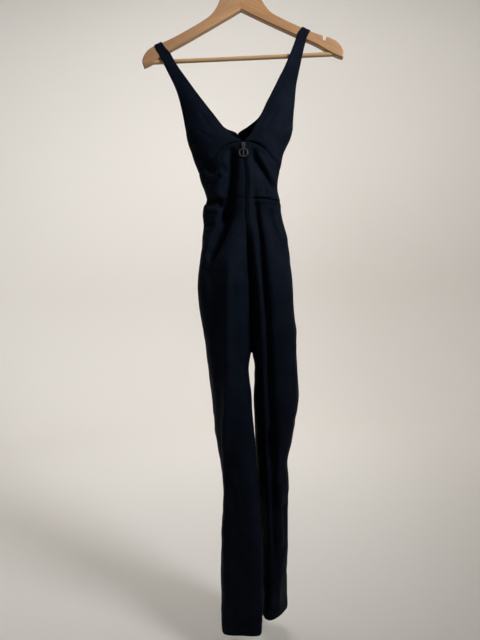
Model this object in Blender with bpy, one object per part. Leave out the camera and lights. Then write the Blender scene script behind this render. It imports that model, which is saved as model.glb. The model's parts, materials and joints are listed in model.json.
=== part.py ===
"""A sleeveless zip-front jumpsuit hanging by its straps on a wooden coat hanger.

Metres, +Z up. The front faces -Y and +X is to the right of someone who looks at the front.
The origin is the inside top of the hanger's hook, where a rail or a wall hook holds it.
Left and right, "l" and "r" in the names, are as seen from the front.
"""
import math

import bmesh
import bpy
import numpy as np
from mathutils import Matrix, Vector

COLLECTION = "jumpsuit_on_hanger"

# ---------------------------------------------------------------- driving sizes
CLOTH = 0.0014            # wall of the doubled stretch knit
SEAM_GAP = 0.0003         # space between two pieces at a seam
HEM_Z = -1.494
ZIP_TOP_Z = -0.4465
ZIP_END_Z = -0.606
SLOT_Z = (-0.6076, -0.6124)   # where the chain's slot begins to close, and where it is a seam
TAPE_END_Z = -0.6155

HANGER_TILT = math.radians(1.05)
WOOD_THICK = 0.014
WOOD_ROUND = 0.002
BAR_R = 0.00475
BAR_Z = -0.2445
BAR_HALF = 0.212
HOOK_R = 0.0218           # to the wire's centre line
WIRE_R = 0.0018
STEM_END_Z = -0.103
STRAP_FACE = WOOD_THICK / 2 + SEAM_GAP + CLOTH / 2

CHAIN_HALF = 0.0023       # half the width of the zip's closed chain
TAPE_HALF = 0.0065
TAPE_THICK = 0.0010
CHAIN_PROUD = 0.0005      # the chain's face, out from the middle of the cloth
CHAIN_SLANT = 0.0001
SLIDER = (0.0075, 0.0022, 0.009)
SLIDER_Z = -0.4532
SLIDER_ROUND = 0.0007
CROWN_REACH = 0.0030      # how far the crown's arch stands out
CROWN_HALF = 0.0032       # half its height
CROWN_WIRE_R = 0.0006
CROWN_SUNK = 0.0008       # how far its ends go into the slider
PULL_AXIS_Z = -0.4522
PULL_OUT = 0.0012         # hinge line in front of the slider's face
PULL_THICK = 0.0012
PULL_HEAD_HALF = 0.0043
PULL_HEAD = (0.0007, -0.0020)    # heights of the head's straight sides, from the hinge line
PULL_NECK_HALF = 0.0021
PULL_NECK_END = -0.0080
PULL_EYE = ((0.0024, -0.0008), (0.0020, -0.0050))   # half width and height, top and bottom
PULL_RING_R = 0.010
PULL_HOLE_R = 0.0072
PULL_BAR_HALF = 0.0013
PULL_RING_DROP = 0.0186   # from the hinge line down to the ring's centre

# ------------------------------------------------ sections of the hanging garment
# One row for each level. The inner edge of a half is the centre front or back above the
# crotch, and the inseam below it. A cleft of 0 is flat across the centre, 1 is folded right in.
SECTION_COLUMNS = ("z", "outline", "side_y", "front_x", "front_y", "front_deep", "front_cleft",
                   "back_x", "back_y", "back_deep", "back_cleft")
LEFT_SECTIONS = (
    (-0.430, -0.1230, 0.000, -0.0020, -0.044, 0.050, 0.0, -0.0120, 0.034, 0.040, 0.0),
    (-0.455, -0.1150, 0.000, -0.0010, -0.046, 0.050, 0.0, -0.0100, 0.038, 0.042, 0.0),
    (-0.487, -0.1040, 0.000, 0.0015, -0.048, 0.052, 0.0, -0.0060, 0.041, 0.044, 0.0),
    (-0.521, -0.0945, 0.000, 0.0035, -0.050, 0.055, 0.0, -0.0020, 0.043, 0.046, 0.0),
    (-0.545, -0.0865, 0.000, 0.0035, -0.051, 0.056, 0.0, 0.0010, 0.044, 0.048, 0.0),
    (-0.557, -0.0845, 0.000, 0.0030, -0.051, 0.057, 0.0, 0.0020, 0.045, 0.049, 0.0),
    (-0.570, -0.0900, 0.000, 0.0025, -0.051, 0.058, 0.0, 0.0025, 0.046, 0.050, 0.0),
    (-0.592, -0.0940, 0.000, 0.0015, -0.050, 0.060, 0.0, 0.0030, 0.047, 0.052, 0.08),
    (-0.615, -0.0930, 0.000, 0.0010, -0.049, 0.061, 0.04, 0.0035, 0.046, 0.055, 0.2),
    (-0.650, -0.0960, 0.000, 0.0020, -0.042, 0.062, 0.35, 0.0040, 0.042, 0.058, 0.45),
    (-0.700, -0.1035, 0.000, 0.0050, -0.030, 0.062, 0.75, 0.0055, 0.034, 0.060, 0.75),
    (-0.752, -0.1095, 0.000, 0.0075, -0.020, 0.062, 1.0, 0.0070, 0.026, 0.062, 1.0),
    (-0.800, -0.1065, 0.000, 0.0075, -0.013, 0.062, 1.0, 0.0070, 0.018, 0.063, 1.0),
    (-0.850, -0.0995, 0.000, 0.0065, -0.007, 0.063, 1.0, 0.0065, 0.011, 0.064, 1.0),
    (-0.899, -0.0950, 0.000, 0.0045, 0.000, 0.063, 1.0, 0.0045, 0.000, 0.063, 1.0),
    (-0.924, -0.0925, 0.000, -0.0005, -0.002, 0.060, 1.0, -0.0005, -0.002, 0.063, 1.0),
    (-0.978, -0.0875, -0.001, 0.0018, -0.008, 0.053, 1.0, 0.0018, -0.008, 0.062, 1.0),
    (-1.034, -0.0825, -0.002, 0.0045, -0.013, 0.048, 1.0, 0.0045, -0.013, 0.061, 1.0),
    (-1.100, -0.0755, -0.003, 0.0080, -0.019, 0.043, 1.0, 0.0080, -0.019, 0.062, 1.0),
    (-1.150, -0.0685, -0.003, 0.0100, -0.023, 0.041, 1.0, 0.0100, -0.023, 0.062, 1.0),
    (-1.199, -0.0640, -0.004, 0.0110, -0.026, 0.040, 1.0, 0.0110, -0.026, 0.062, 1.0),
    (-1.270, -0.0695, -0.004, 0.0145, -0.028, 0.040, 1.0, 0.0145, -0.028, 0.064, 1.0),
    (-1.340, -0.0735, -0.004, 0.0175, -0.028, 0.041, 1.0, 0.0175, -0.028, 0.065, 1.0),
    (-1.430, -0.0755, -0.004, 0.0145, -0.024, 0.042, 1.0, 0.0145, -0.024, 0.064, 1.0),
    (-1.510, -0.0750, -0.004, 0.0110, -0.020, 0.043, 1.0, 0.0110, -0.020, 0.063, 1.0),
)
RIGHT_SECTIONS = (
    (-0.430, 0.1010, 0.000, -0.0020, -0.044, 0.050, 0.0, -0.0120, 0.034, 0.040, 0.0),
    (-0.455, 0.0890, 0.000, -0.0010, -0.046, 0.050, 0.0, -0.0100, 0.038, 0.042, 0.0),
    (-0.487, 0.0820, 0.000, 0.0015, -0.048, 0.052, 0.0, -0.0060, 0.041, 0.044, 0.0),
    (-0.521, 0.0730, 0.000, 0.0035, -0.050, 0.055, 0.0, -0.0020, 0.043, 0.046, 0.0),
    (-0.545, 0.0725, 0.000, 0.0035, -0.051, 0.056, 0.0, 0.0010, 0.044, 0.048, 0.0),
    (-0.557, 0.0750, 0.000, 0.0030, -0.051, 0.057, 0.0, 0.0020, 0.045, 0.049, 0.0),
    (-0.570, 0.0780, 0.000, 0.0025, -0.051, 0.058, 0.0, 0.0025, 0.046, 0.050, 0.0),
    (-0.592, 0.0785, 0.000, 0.0015, -0.050, 0.060, 0.0, 0.0030, 0.047, 0.052, 0.08),
    (-0.615, 0.0835, 0.000, 0.0010, -0.049, 0.061, 0.04, 0.0035, 0.046, 0.055, 0.2),
    (-0.650, 0.0910, 0.000, 0.0020, -0.042, 0.062, 0.35, 0.0040, 0.042, 0.058, 0.45),
    (-0.700, 0.0960, 0.000, 0.0050, -0.030, 0.062, 0.75, 0.0055, 0.034, 0.060, 0.75),
    (-0.752, 0.0995, 0.001, 0.0075, -0.020, 0.061, 1.0, 0.0070, 0.026, 0.062, 1.0),
    (-0.800, 0.1010, 0.002, 0.0075, -0.013, 0.060, 1.0, 0.0070, 0.018, 0.063, 1.0),
    (-0.850, 0.1050, 0.003, 0.0065, -0.007, 0.059, 1.0, 0.0065, 0.011, 0.064, 1.0),
    (-0.899, 0.1050, 0.005, 0.0075, 0.000, 0.058, 1.0, 0.0075, 0.000, 0.064, 1.0),
    (-0.924, 0.1055, 0.006, 0.0115, 0.005, 0.057, 1.0, 0.0115, 0.005, 0.062, 1.0),
    (-0.978, 0.1085, 0.010, 0.0090, 0.013, 0.056, 1.0, 0.0090, 0.013, 0.057, 1.0),
    (-1.010, 0.1075, 0.013, 0.0083, 0.018, 0.056, 1.0, 0.0083, 0.018, 0.054, 1.0),
    (-1.050, 0.1000, 0.017, 0.0086, 0.024, 0.055, 1.0, 0.0086, 0.024, 0.051, 1.0),
    (-1.100, 0.0915, 0.022, 0.0088, 0.033, 0.055, 1.0, 0.0088, 0.033, 0.048, 1.0),
    (-1.150, 0.0805, 0.027, 0.0092, 0.040, 0.055, 1.0, 0.0092, 0.040, 0.046, 1.0),
    (-1.185, 0.0830, 0.030, 0.0098, 0.044, 0.056, 1.0, 0.0098, 0.044, 0.046, 1.0),
    (-1.240, 0.0800, 0.035, 0.0115, 0.050, 0.057, 1.0, 0.0115, 0.050, 0.046, 1.0),
    (-1.335, 0.0780, 0.041, 0.0140, 0.055, 0.058, 1.0, 0.0140, 0.055, 0.047, 1.0),
    (-1.430, 0.0740, 0.046, 0.0140, 0.058, 0.059, 1.0, 0.0140, 0.058, 0.048, 1.0),
    (-1.510, 0.0750, 0.049, 0.0125, 0.059, 0.059, 1.0, 0.0125, 0.059, 0.049, 1.0),
)

# How square the folded-in lobes of a section are, by level.
SQUARE_LEVELS = ((-0.60, 1.3), (-0.90, 1.3), (-1.05, 0.9), (-1.20, 0.6), (-1.51, 0.6))

# ------------------------------------------------------------------------- folds
# depth is how far the cloth goes in (a ridge is negative), width is the half width at 1/e
# of the depth, and the path gives x, z of the fold's line from its top end.
FRONT_FOLDS = (
    {"depth": 0.020, "width": 0.0085, "path": ((-0.0245, -0.454), (-0.025, -0.500), (-0.031, -0.560),
                                               (-0.035, -0.592), (-0.043, -0.625))},
    {"depth": 0.014, "width": 0.0125, "path": ((-0.032, -0.575), (-0.052, -0.632), (-0.082, -0.700))},
    {"depth": 0.009, "width": 0.0110, "path": ((-0.038, -0.490), (-0.043, -0.540), (-0.046, -0.590))},
    {"depth": 0.010, "width": 0.0075, "path": ((0.017, -0.456), (0.022, -0.480), (0.040, -0.509),
                                               (0.056, -0.537), (0.068, -0.554))},
    {"depth": -0.005, "width": 0.0070, "path": ((0.029, -0.470), (0.046, -0.500), (0.064, -0.532))},
    {"depth": 0.014, "width": 0.0080, "path": ((0.020, -0.520), (0.020, -0.576), (0.027, -0.640),
                                               (0.031, -0.712), (0.037, -0.800), (0.040, -0.892),
                                               (0.042, -0.990), (0.046, -1.070), (0.050, -1.190))},
    {"depth": 0.009, "width": 0.0080, "path": ((0.053, -0.585), (0.057, -0.625), (0.071, -0.665),
                                               (0.074, -0.710))},
    {"depth": 0.010, "width": 0.0080, "path": ((-0.098, -0.468), (-0.082, -0.490), (-0.062, -0.514))},
    {"depth": -0.004, "width": 0.0060, "path": ((-0.060, -0.504), (-0.084, -0.525))},
    {"depth": 0.007, "width": 0.0060, "path": ((-0.050, -0.511), (-0.080, -0.535))},
    {"depth": 0.012, "width": 0.0085, "path": ((-0.092, -0.566), (-0.070, -0.567), (-0.048, -0.574))},
    {"depth": 0.004, "width": 0.0050, "path": ((-0.092, -0.597), (-0.060, -0.594))},
    {"depth": 0.004, "width": 0.0050, "path": ((-0.094, -0.622), (-0.066, -0.620))},
    {"depth": 0.005, "width": 0.0050, "path": ((0.044, -0.528), (0.042, -0.562))},
    {"depth": -0.010, "width": 0.0150, "path": ((-0.035, -0.670), (-0.040, -0.736), (-0.044, -0.811),
                                                (-0.047, -0.930), (-0.052, -0.992), (-0.057, -1.070),
                                                (-0.060, -1.150))},
    {"depth": -0.007, "width": 0.0080, "path": ((0.024, -0.712), (0.029, -0.812), (0.031, -0.990),
                                                (0.032, -1.174), (0.034, -1.393))},
    {"depth": 0.011, "width": 0.0110, "path": ((0.060, -1.225), (0.064, -1.290), (0.062, -1.350))},
    {"depth": 0.006, "width": 0.0090, "path": ((-0.050, -1.130), (-0.030, -1.210), (-0.024, -1.330))},
)
BACK_FOLDS = (
    {"depth": 0.013, "width": 0.0090, "path": ((-0.048, -0.470), (-0.044, -0.560), (-0.050, -0.640))},
    {"depth": 0.012, "width": 0.0090, "path": ((0.044, -0.480), (0.040, -0.570), (0.048, -0.650))},
    {"depth": 0.006, "width": 0.0070, "path": ((-0.086, -0.560), (-0.055, -0.566), (-0.020, -0.562))},
    {"depth": 0.006, "width": 0.0070, "path": ((0.022, -0.585), (0.050, -0.590), (0.074, -0.583))},
    {"depth": 0.011, "width": 0.0120, "path": ((-0.058, -0.720), (-0.054, -0.850), (-0.048, -1.020),
                                               (-0.040, -1.150))},
    {"depth": 0.011, "width": 0.0120, "path": ((0.060, -0.700), (0.062, -0.840), (0.066, -1.000),
                                               (0.050, -1.140))},
    {"depth": 0.005, "width": 0.0080, "path": ((-0.010, -0.905), (-0.019, -0.930), (-0.025, -0.965))},
    {"depth": 0.006, "width": 0.0080, "path": ((0.024, -0.905), (0.036, -0.935), (0.044, -0.975))},
    {"depth": 0.008, "width": 0.0100, "path": ((-0.030, -1.190), (-0.022, -1.300), (-0.030, -1.420))},
    {"depth": 0.008, "width": 0.0090, "path": ((0.046, -1.220), (0.050, -1.320), (0.044, -1.430))},
)
# Main fold lines that a column of the mesh follows: its share of the columns, then x, z.
GUIDES = {
    ("l", "front"): (11 / 15, ((-0.0245, -0.445), (-0.025, -0.500), (-0.031, -0.560), (-0.036, -0.600),
                               (-0.039, -0.736), (-0.047, -0.930), (-0.057, -1.070), (-0.058, -1.150),
                               (-0.050, -1.250), (-0.044, -1.500))),
    ("r", "front"): (10 / 15, ((0.020, -0.445), (0.020, -0.576), (0.027, -0.640), (0.031, -0.712),
                               (0.037, -0.800), (0.040, -0.892), (0.042, -0.990), (0.046, -1.070),
                               (0.050, -1.190), (0.050, -1.500))),
    ("l", "back"): (7 / 12, ((-0.048, -0.470), (-0.044, -0.560), (-0.056, -0.700), (-0.054, -0.850),
                             (-0.048, -1.020), (-0.040, -1.150), (-0.026, -1.300), (-0.030, -1.500))),
    ("r", "back"): (7 / 12, ((0.044, -0.470), (0.040, -0.560), (0.058, -0.700), (0.062, -0.840),
                             (0.066, -1.000), (0.050, -1.140), (0.048, -1.300), (0.046, -1.500))),
}
FOLDS = {"front": FRONT_FOLDS, "back": BACK_FOLDS}
FOLD_END = 0.16           # share of a fold's path over which it runs out at each end

# --------------------------------------------------- straps, bust and upper back
# Rows of a loft from just below the hanger's arm to the under-bust seam. "round" is 1 where
# the outer edge turns into the side seam and 0 where it is a free edge.
STRAP_COLUMNS = ("out_x", "out_y", "out_z", "in_x", "in_y", "in_z", "round", "bulge")
BUST_ROWS = {
    "l": (
        (-0.1815, -0.0086, -0.2335, -0.1600, -0.0088, -0.2280, 0.0, 0.0),
        (-0.1655, -0.0105, -0.2650, -0.1430, -0.0115, -0.2590, 0.0, 0.001),
        (-0.1490, -0.0125, -0.3000, -0.1160, -0.0165, -0.3010, 0.0, 0.002),
        (-0.1385, -0.0135, -0.3280, -0.0900, -0.0215, -0.3405, 0.1, 0.004),
        (-0.1325, -0.0120, -0.3560, -0.0650, -0.0265, -0.3755, 0.2, 0.006),
        (-0.1280, -0.0075, -0.3900, -0.0410, -0.0325, -0.4100, 0.5, 0.007),
        (-0.1235, -0.0003, -0.4270, -0.0180, -0.0395, -0.4350, 1.0, 0.006),
        (-0.1140, -0.0002, -0.4600, -0.0060, -0.0440, -0.4415, 1.0, 0.003),
    ),
    "r": (
        (0.1395, -0.0086, -0.2290, 0.1170, -0.0088, -0.2215, 0.0, 0.0),
        (0.1310, -0.0105, -0.2640, 0.1030, -0.0115, -0.2550, 0.0, 0.001),
        (0.1215, -0.0125, -0.3040, 0.0835, -0.0170, -0.2950, 0.0, 0.002),
        (0.1170, -0.0135, -0.3330, 0.0640, -0.0225, -0.3330, 0.1, 0.004),
        (0.1130, -0.0120, -0.3650, 0.0465, -0.0280, -0.3690, 0.2, 0.006),
        (0.1105, -0.0070, -0.3920, 0.0300, -0.0335, -0.3995, 0.5, 0.007),
        (0.1070, -0.0003, -0.4200, 0.0150, -0.0395, -0.4290, 1.0, 0.006),
        (0.0905, -0.0002, -0.4540, 0.0055, -0.0440, -0.4400, 1.0, 0.003),
    ),
}
BACK_ROWS = {
    "l": (
        (-0.1815, 0.0086, -0.2335, -0.1600, 0.0088, -0.2280, 0.0, 0.0),
        (-0.1655, 0.0105, -0.2650, -0.1440, 0.0115, -0.2590, 0.0, 0.001),
        (-0.1495, 0.0125, -0.3000, -0.1180, 0.0150, -0.2980, 0.0, 0.002),
        (-0.1400, 0.0130, -0.3330, -0.0900, 0.0190, -0.3330, 0.1, 0.003),
        (-0.1330, 0.0110, -0.3660, -0.0640, 0.0230, -0.3640, 0.2, 0.004),
        (-0.1285, 0.0065, -0.3960, -0.0390, 0.0270, -0.3880, 0.5, 0.005),
        (-0.1235, 0.0003, -0.4270, -0.0122, 0.0305, -0.4010, 1.0, 0.005),
        (-0.1140, 0.0002, -0.4600, -0.0100, 0.0350, -0.4560, 1.0, 0.003),
    ),
    "r": (
        (0.1395, 0.0086, -0.2290, 0.1170, 0.0088, -0.2215, 0.0, 0.0),
        (0.1310, 0.0105, -0.2640, 0.1030, 0.0115, -0.2550, 0.0, 0.001),
        (0.1220, 0.0125, -0.3030, 0.0810, 0.0150, -0.2930, 0.0, 0.002),
        (0.1170, 0.0130, -0.3330, 0.0580, 0.0190, -0.3300, 0.1, 0.003),
        (0.1130, 0.0110, -0.3650, 0.0370, 0.0230, -0.3670, 0.2, 0.004),
        (0.1105, 0.0060, -0.3930, 0.0130, 0.0270, -0.3850, 0.5, 0.005),
        (0.1070, 0.0003, -0.4200, -0.0118, 0.0305, -0.4010, 1.0, 0.005),
        (0.0905, 0.0002, -0.4540, -0.0100, 0.0350, -0.4560, 1.0, 0.003),
    ),
}
SHOULDER_X = {"l": (-0.1906, -0.1744), "r": (0.1548, 0.1370)}   # outer and inner edge on the arm
# The strap's way round the arm's rounded top edge: y and height from the edge line, in
# shares of the strap's face distance and in metres.
WRAP = ((0.05, 0.0010), (0.62, 0.0010), (0.89, 0.0001), (1.0, -0.0021), (1.0, -0.0090))

# Height of the seams across a half, from the side (0) to the centre (1).
SEAM_STEPS = (0.0, 0.25, 0.45, 0.65, 0.85, 1.0)
UNDERBUST_Z = {"l": (-0.500, -0.490, -0.475, -0.460, -0.4475, -0.4465),
               "r": (-0.500, -0.488, -0.472, -0.457, -0.4465, -0.4465)}
BACK_SEAM_Z = -0.500
WAIST_Z = {"l": (-0.566, -0.5675), "r": (-0.570, -0.5675)}      # at the side and the centre

# ------------------------------------------------------------- wooden hanger
# Half outline of the wood, x from the centre line and z, top edge first and then the underside.
ARM_TOP = ((0.0, -0.0750), (0.014, -0.0762), (0.028, -0.0825), (0.037, -0.0950), (0.045, -0.1140),
           (0.0545, -0.1330), (0.069, -0.1495), (0.088, -0.1615), (0.125, -0.1810),
           (0.156, -0.1960), (0.1757, -0.2040), (0.1965, -0.2113), (0.211, -0.2205),
           (0.220, -0.2330), (0.2235, -0.2430))
ARM_UNDER = ((0.2225, -0.2520), (0.2150, -0.2550), (0.2060, -0.2520), (0.1950, -0.2450),
             (0.1630, -0.2240), (0.125, -0.2050), (0.093, -0.1885), (0.062, -0.1725),
             (0.030, -0.1555), (0.0, -0.1394))
NOTCH = {"x": 0.1825, "width": 0.009, "depth": 0.0105}

# ------------------------------------------------------------------ grid density
SURFACE_TOP = -0.432
SURFACE_STEP = 0.004      # height between the worked-out sections
SURFACE_SPARE = 0.008     # how far they go on below the hem
SURFACE_SAMPLES = 121     # points round a quarter of a section
STRAP_SAMPLES = 61        # points across a strap
SLOPE_REACH = 0.0008      # how far either way a strap's slope is read
LEG_LEVELS = ((-0.5955, 0.0093), (-0.6075, 0.012), (-0.6125, 0.005), (-0.73, 0.0168),
              (-1.06, 0.0235), (HEM_Z, 0.0365))     # down to a level, by a step
COLUMNS = {"front": 15, "back": 12}       # across a half, the same above and below each seam
MIDRIFF_ROWS = {"front": 9, "back": 7}
UPPER_ROWS = {"front": 19, "back": 17}
UPPER_ROWS_BELOW = {"front": 4, "back": 4}     # of them, below the bottom corner of the neckline
ZIP_ROWS = 11
TAPE_END_ROWS = 2

MATERIALS = {
    # name: colour, roughness, metallic
    "stretch_knit": ((0.0060, 0.0075, 0.0110), 0.62, 0.0),
    "zip_tape": ((0.0050, 0.0055, 0.0070), 0.55, 0.0),
    "dark_metal": ((0.050, 0.050, 0.052), 0.32, 1.0),
    "beech_wood": ((0.520, 0.330, 0.170), 0.42, 0.0),
    "hook_steel": ((0.600, 0.600, 0.590), 0.25, 1.0),
}


# ------------------------------------------------------------------ small helpers
def smooth_columns(knots, rows, at):
    """Rows of a table read at any levels along a smooth curve through them."""
    knots = np.asarray(knots, float)
    rows = np.asarray(rows, float)
    if knots[0] > knots[-1]:
        knots = knots[::-1]
        rows = rows[::-1]
    at = np.clip(np.asarray(at, float), knots[0], knots[-1])
    step = np.diff(knots)
    slope = np.diff(rows, axis=0) / step[:, None]
    tangent = np.zeros_like(rows)
    tangent[1:-1] = (slope[:-1] * step[1:, None] + slope[1:] * step[:-1, None])
    tangent[1:-1] /= (step[1:] + step[:-1])[:, None]
    tangent[0] = slope[0]
    tangent[-1] = slope[-1]
    i = np.clip(np.searchsorted(knots, at, side="right") - 1, 0, len(step) - 1)
    h = step[i][:, None]
    t = ((at - knots[i]) / step[i])[:, None]
    return ((2 * t**3 - 3 * t**2 + 1) * rows[i] + (t**3 - 2 * t**2 + t) * h * tangent[i]
            + (-2 * t**3 + 3 * t**2) * rows[i + 1] + (t**3 - t**2) * h * tangent[i + 1])


def smoothstep(t):
    t = np.clip(t, 0.0, 1.0)
    return t * t * (3 - 2 * t)


def even_along(points, fractions):
    """Points of polylines (rows, samples, 3) at shares of their own length."""
    step = np.linalg.norm(np.diff(points, axis=1), axis=2)
    run = np.concatenate([np.zeros((len(points), 1)), np.cumsum(step, axis=1)], axis=1)
    out = np.empty((len(points), len(fractions), 3))
    for row, line in enumerate(points):
        for axis in range(3):
            out[row, :, axis] = np.interp(fractions * run[row, -1], run[row], line[:, axis])
    return out, run[:, -1]


# ------------------------------------------------------------- form of the cloth
def fold_depth(face, x, z):
    """How far the folds take the cloth of a face inwards at x, z."""
    total = np.zeros_like(x)
    for fold in FOLDS[face]:
        path = np.array(fold["path"])
        lengths = np.linalg.norm(np.diff(path, axis=0), axis=1)
        best = np.full(x.shape, 1e9)
        share = np.zeros_like(x)
        run = 0.0
        for start, end, length in zip(path[:-1], path[1:], lengths):
            t = ((x - start[0]) * (end[0] - start[0]) + (z - start[1]) * (end[1] - start[1]))
            t = np.clip(t / length**2, 0.0, 1.0)
            away = np.hypot(x - start[0] - t * (end[0] - start[0]),
                            z - start[1] - t * (end[1] - start[1]))
            nearer = away < best
            best = np.where(nearer, away, best)
            share = np.where(nearer, (run + t * length) / lengths.sum(), share)
            run += length
        ends = smoothstep(share / FOLD_END) * smoothstep((1 - share) / FOLD_END)
        total += fold["depth"] * ends * np.exp(-(best / fold["width"])**2)
    return total


def quarter(half, face, z):
    """Cloth lines of one half and face at the levels z: (levels, samples, 3), side to centre."""
    table = LEFT_SECTIONS if half == "l" else RIGHT_SECTIONS
    values = smooth_columns([row[0] for row in table], [row[1:] for row in table], z)
    row = dict(zip(SECTION_COLUMNS[1:], values.T[:, :, None]))
    out = -1 if face == "front" else 1
    s = np.linspace(0.0, 1.0, SURFACE_SAMPLES)[None, :]
    centre_x, centre_y = row[face + "_x"], row[face + "_y"]
    cleft = np.clip(row[face + "_cleft"], 0.0, 1.0)
    flat_across = 1 - np.cos(np.pi * s / 2)
    tube_across = (1 - np.cos(np.pi * s)) / 2
    across = (1 - cleft) * flat_across + cleft * tube_across
    square = np.interp(-z, [-level for level, _ in SQUARE_LEVELS], [v for _, v in SQUARE_LEVELS])[:, None]
    lobe = np.tanh(square * np.sin(np.pi * s)) / np.tanh(square)
    rise = ((1 - cleft) * (centre_y - row["side_y"]) * out * np.sin(np.pi * s / 2)**0.9
            + cleft * row[face + "_deep"] * lobe)
    chord = row["side_y"] + cleft * (centre_y - row["side_y"]) * tube_across
    x = row["outline"] + (centre_x - row["outline"]) * across
    fold = fold_depth(face, x, z[:, None] + 0 * x)
    room = 0.85 * rise + 1e-6
    rise = np.where(fold > 0, rise - room * np.tanh(fold / room), rise - fold * rise / (rise + 0.01))
    y = chord + out * rise
    steep = np.abs(y[:, -1] - y[:, -4]) / np.hypot(x[:, -1] - x[:, -4], y[:, -1] - y[:, -4])
    inset = (SEAM_GAP / 2 + CLOTH / 2 * steep)[:, None] * (1 if half == "l" else -1)
    x = x - inset * across
    return np.stack([x, y, z[:, None] + 0 * x], axis=2)


def unit_normals(points, outward):
    """Normals of a grid of points, all on the side that outward says."""
    along = np.gradient(points, axis=1)
    down = np.gradient(points, axis=0)
    normal = np.cross(along, down)
    normal /= np.linalg.norm(normal, axis=2, keepdims=True)
    return normal * outward


def facing(half, face):
    """Sign that turns a half's grid normals outwards."""
    return 1 if (half == "l") != (face == "front") else -1


class Surface:
    """The cloth of one half and face, read by share of the way across and height."""

    def __init__(self, half, face):
        self.half, self.face = half, face
        levels = int(round((SURFACE_TOP - HEM_Z + SURFACE_SPARE) / SURFACE_STEP)) + 1
        self.z = SURFACE_TOP - SURFACE_STEP * np.arange(levels)
        shares = np.linspace(0.0, 1.0, SURFACE_SAMPLES)
        self.points, self.length = even_along(quarter(half, face, self.z), shares)
        self.normals = unit_normals(self.points, facing(half, face))

    def at(self, share, z):
        """Point and outward normal at a share across (side 0, centre 1) and a height."""
        row = np.clip((SURFACE_TOP - z) / SURFACE_STEP, 0, len(self.z) - 1.001)
        column = np.clip(share, 0, 1) * (SURFACE_SAMPLES - 1.001)
        i, j = int(row), int(column)
        u, v = row - i, column - j
        picked = []
        for grid in (self.points, self.normals):
            upper = grid[i, j] * (1 - v) + grid[i, j + 1] * v
            lower = grid[i + 1, j] * (1 - v) + grid[i + 1, j + 1] * v
            picked.append(upper * (1 - u) + lower * u)
        return picked[0], picked[1] / np.linalg.norm(picked[1])

    def width(self, z):
        return float(np.interp(-z, -self.z, self.length))

    def guided(self, t, z):
        """Share across for a column t, so that one column runs down the main fold."""
        column, path = GUIDES[self.half, self.face]
        x = np.interp(-z, [-p[1] for p in path], [p[0] for p in path])
        row = int(round(np.clip((SURFACE_TOP - z) / SURFACE_STEP, 0, len(self.z) - 1)))
        across = self.points[row, :, 0] * (1 if self.half == "l" else -1)
        middle = np.interp(x * (1 if self.half == "l" else -1), across, np.linspace(0, 1, len(across)))
        return float(np.interp(t, (0.0, column, 1.0), (0.0, middle, 1.0)))


def centre_trim(z):
    """What a front piece leaves free at the centre front, for the zip's chain above its end."""
    open_share = smoothstep((z - SLOT_Z[1]) / (SLOT_Z[0] - SLOT_Z[1]))
    return SEAM_GAP / 2 + (CHAIN_HALF + SEAM_GAP / 2) * float(open_share)


def share_at(surface, t, z, trim=True):
    """Share across for a column t from 0 to 1, with the seam gaps left free."""
    width = surface.width(z)
    start = SEAM_GAP / 2 / width
    centre = centre_trim(z) if surface.face == "front" else SEAM_GAP / 2
    end = 1 - (centre / width if trim else 0.0)
    return start + (end - start) * surface.guided(t, z)


def underbust(half, share):
    return float(smooth_columns(SEAM_STEPS, [[v] for v in UNDERBUST_Z[half]], [share])[0, 0])


def waist(half, share):
    side, centre = WAIST_Z[half]
    return side + (centre - side) * share


# --------------------------------------------------------------- meshes of cloth
def slab(points, normals, outer, inner):
    """Closed wall between two offsets of a grid of points."""
    rows, columns = points.shape[:2]
    bm = bmesh.new()
    skins = []
    for offset in (outer, inner):
        grid = points + normals * offset
        skins.append([[bm.verts.new(grid[i, j]) for j in range(columns)] for i in range(rows)])
    top, under = skins
    for i in range(rows - 1):
        for j in range(columns - 1):
            bm.faces.new((top[i][j], top[i][j + 1], top[i + 1][j + 1], top[i + 1][j]))
            bm.faces.new((under[i][j], under[i + 1][j], under[i + 1][j + 1], under[i][j + 1]))
    rim = [(0, j) for j in range(columns)] + [(i, columns - 1) for i in range(1, rows)]
    rim += [(rows - 1, j) for j in range(columns - 2, -1, -1)] + [(i, 0) for i in range(rows - 2, 0, -1)]
    for (a, b), (c, d) in zip(rim, rim[1:] + rim[:1]):
        bm.faces.new((top[a][b], under[a][b], under[c][d], top[c][d]))
    bmesh.ops.recalc_face_normals(bm, faces=bm.faces)
    return bm


def add_object(name, bm, material):
    mesh = bpy.data.meshes.new(name)
    bm.to_mesh(mesh)
    bm.free()
    obj = bpy.data.objects.new(name, mesh)
    bpy.data.collections[COLLECTION].objects.link(obj)
    mesh.materials.append(bpy.data.materials[material])
    mesh.shade_smooth()
    mesh.set_sharp_from_angle(angle=math.radians(50))
    return obj


def cloth_object(name, points, normals):
    points, normals = np.array(points), np.array(normals)
    bm = slab(points, normals, CLOTH / 2, -CLOTH / 2)
    return add_object(name, bm, "stretch_knit")


def panel(surfaces, name, half, face, rows, top, bottom):
    """A piece of one half and face between two seam lines, both functions of the share."""
    surface = surfaces[half, face]
    points, normals = [], []
    for v in rows:
        line = [], []
        for t in np.linspace(0.0, 1.0, COLUMNS[face] + 1):
            upper = top(half, t) - SEAM_GAP / 2
            z = upper + (bottom(half, t) + SEAM_GAP / 2 - upper) * v
            point, normal = surface.at(share_at(surface, t, z), z)
            line[0].append(point)
            line[1].append(normal)
        points.append(line[0])
        normals.append(line[1])
    return cloth_object(name, points, normals)


def leg_rows():
    """Shares of the way from the waist seam to the hem, closer together round the hips."""
    z = WAIST_Z["l"][1]
    levels = [z]
    for limit, step in LEG_LEVELS:
        count = max(1, round((levels[-1] - limit) / step))
        levels += list(np.linspace(levels[-1], limit, count + 1)[1:])
    return [(z - level) / (z - HEM_Z) for level in levels]


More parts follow.
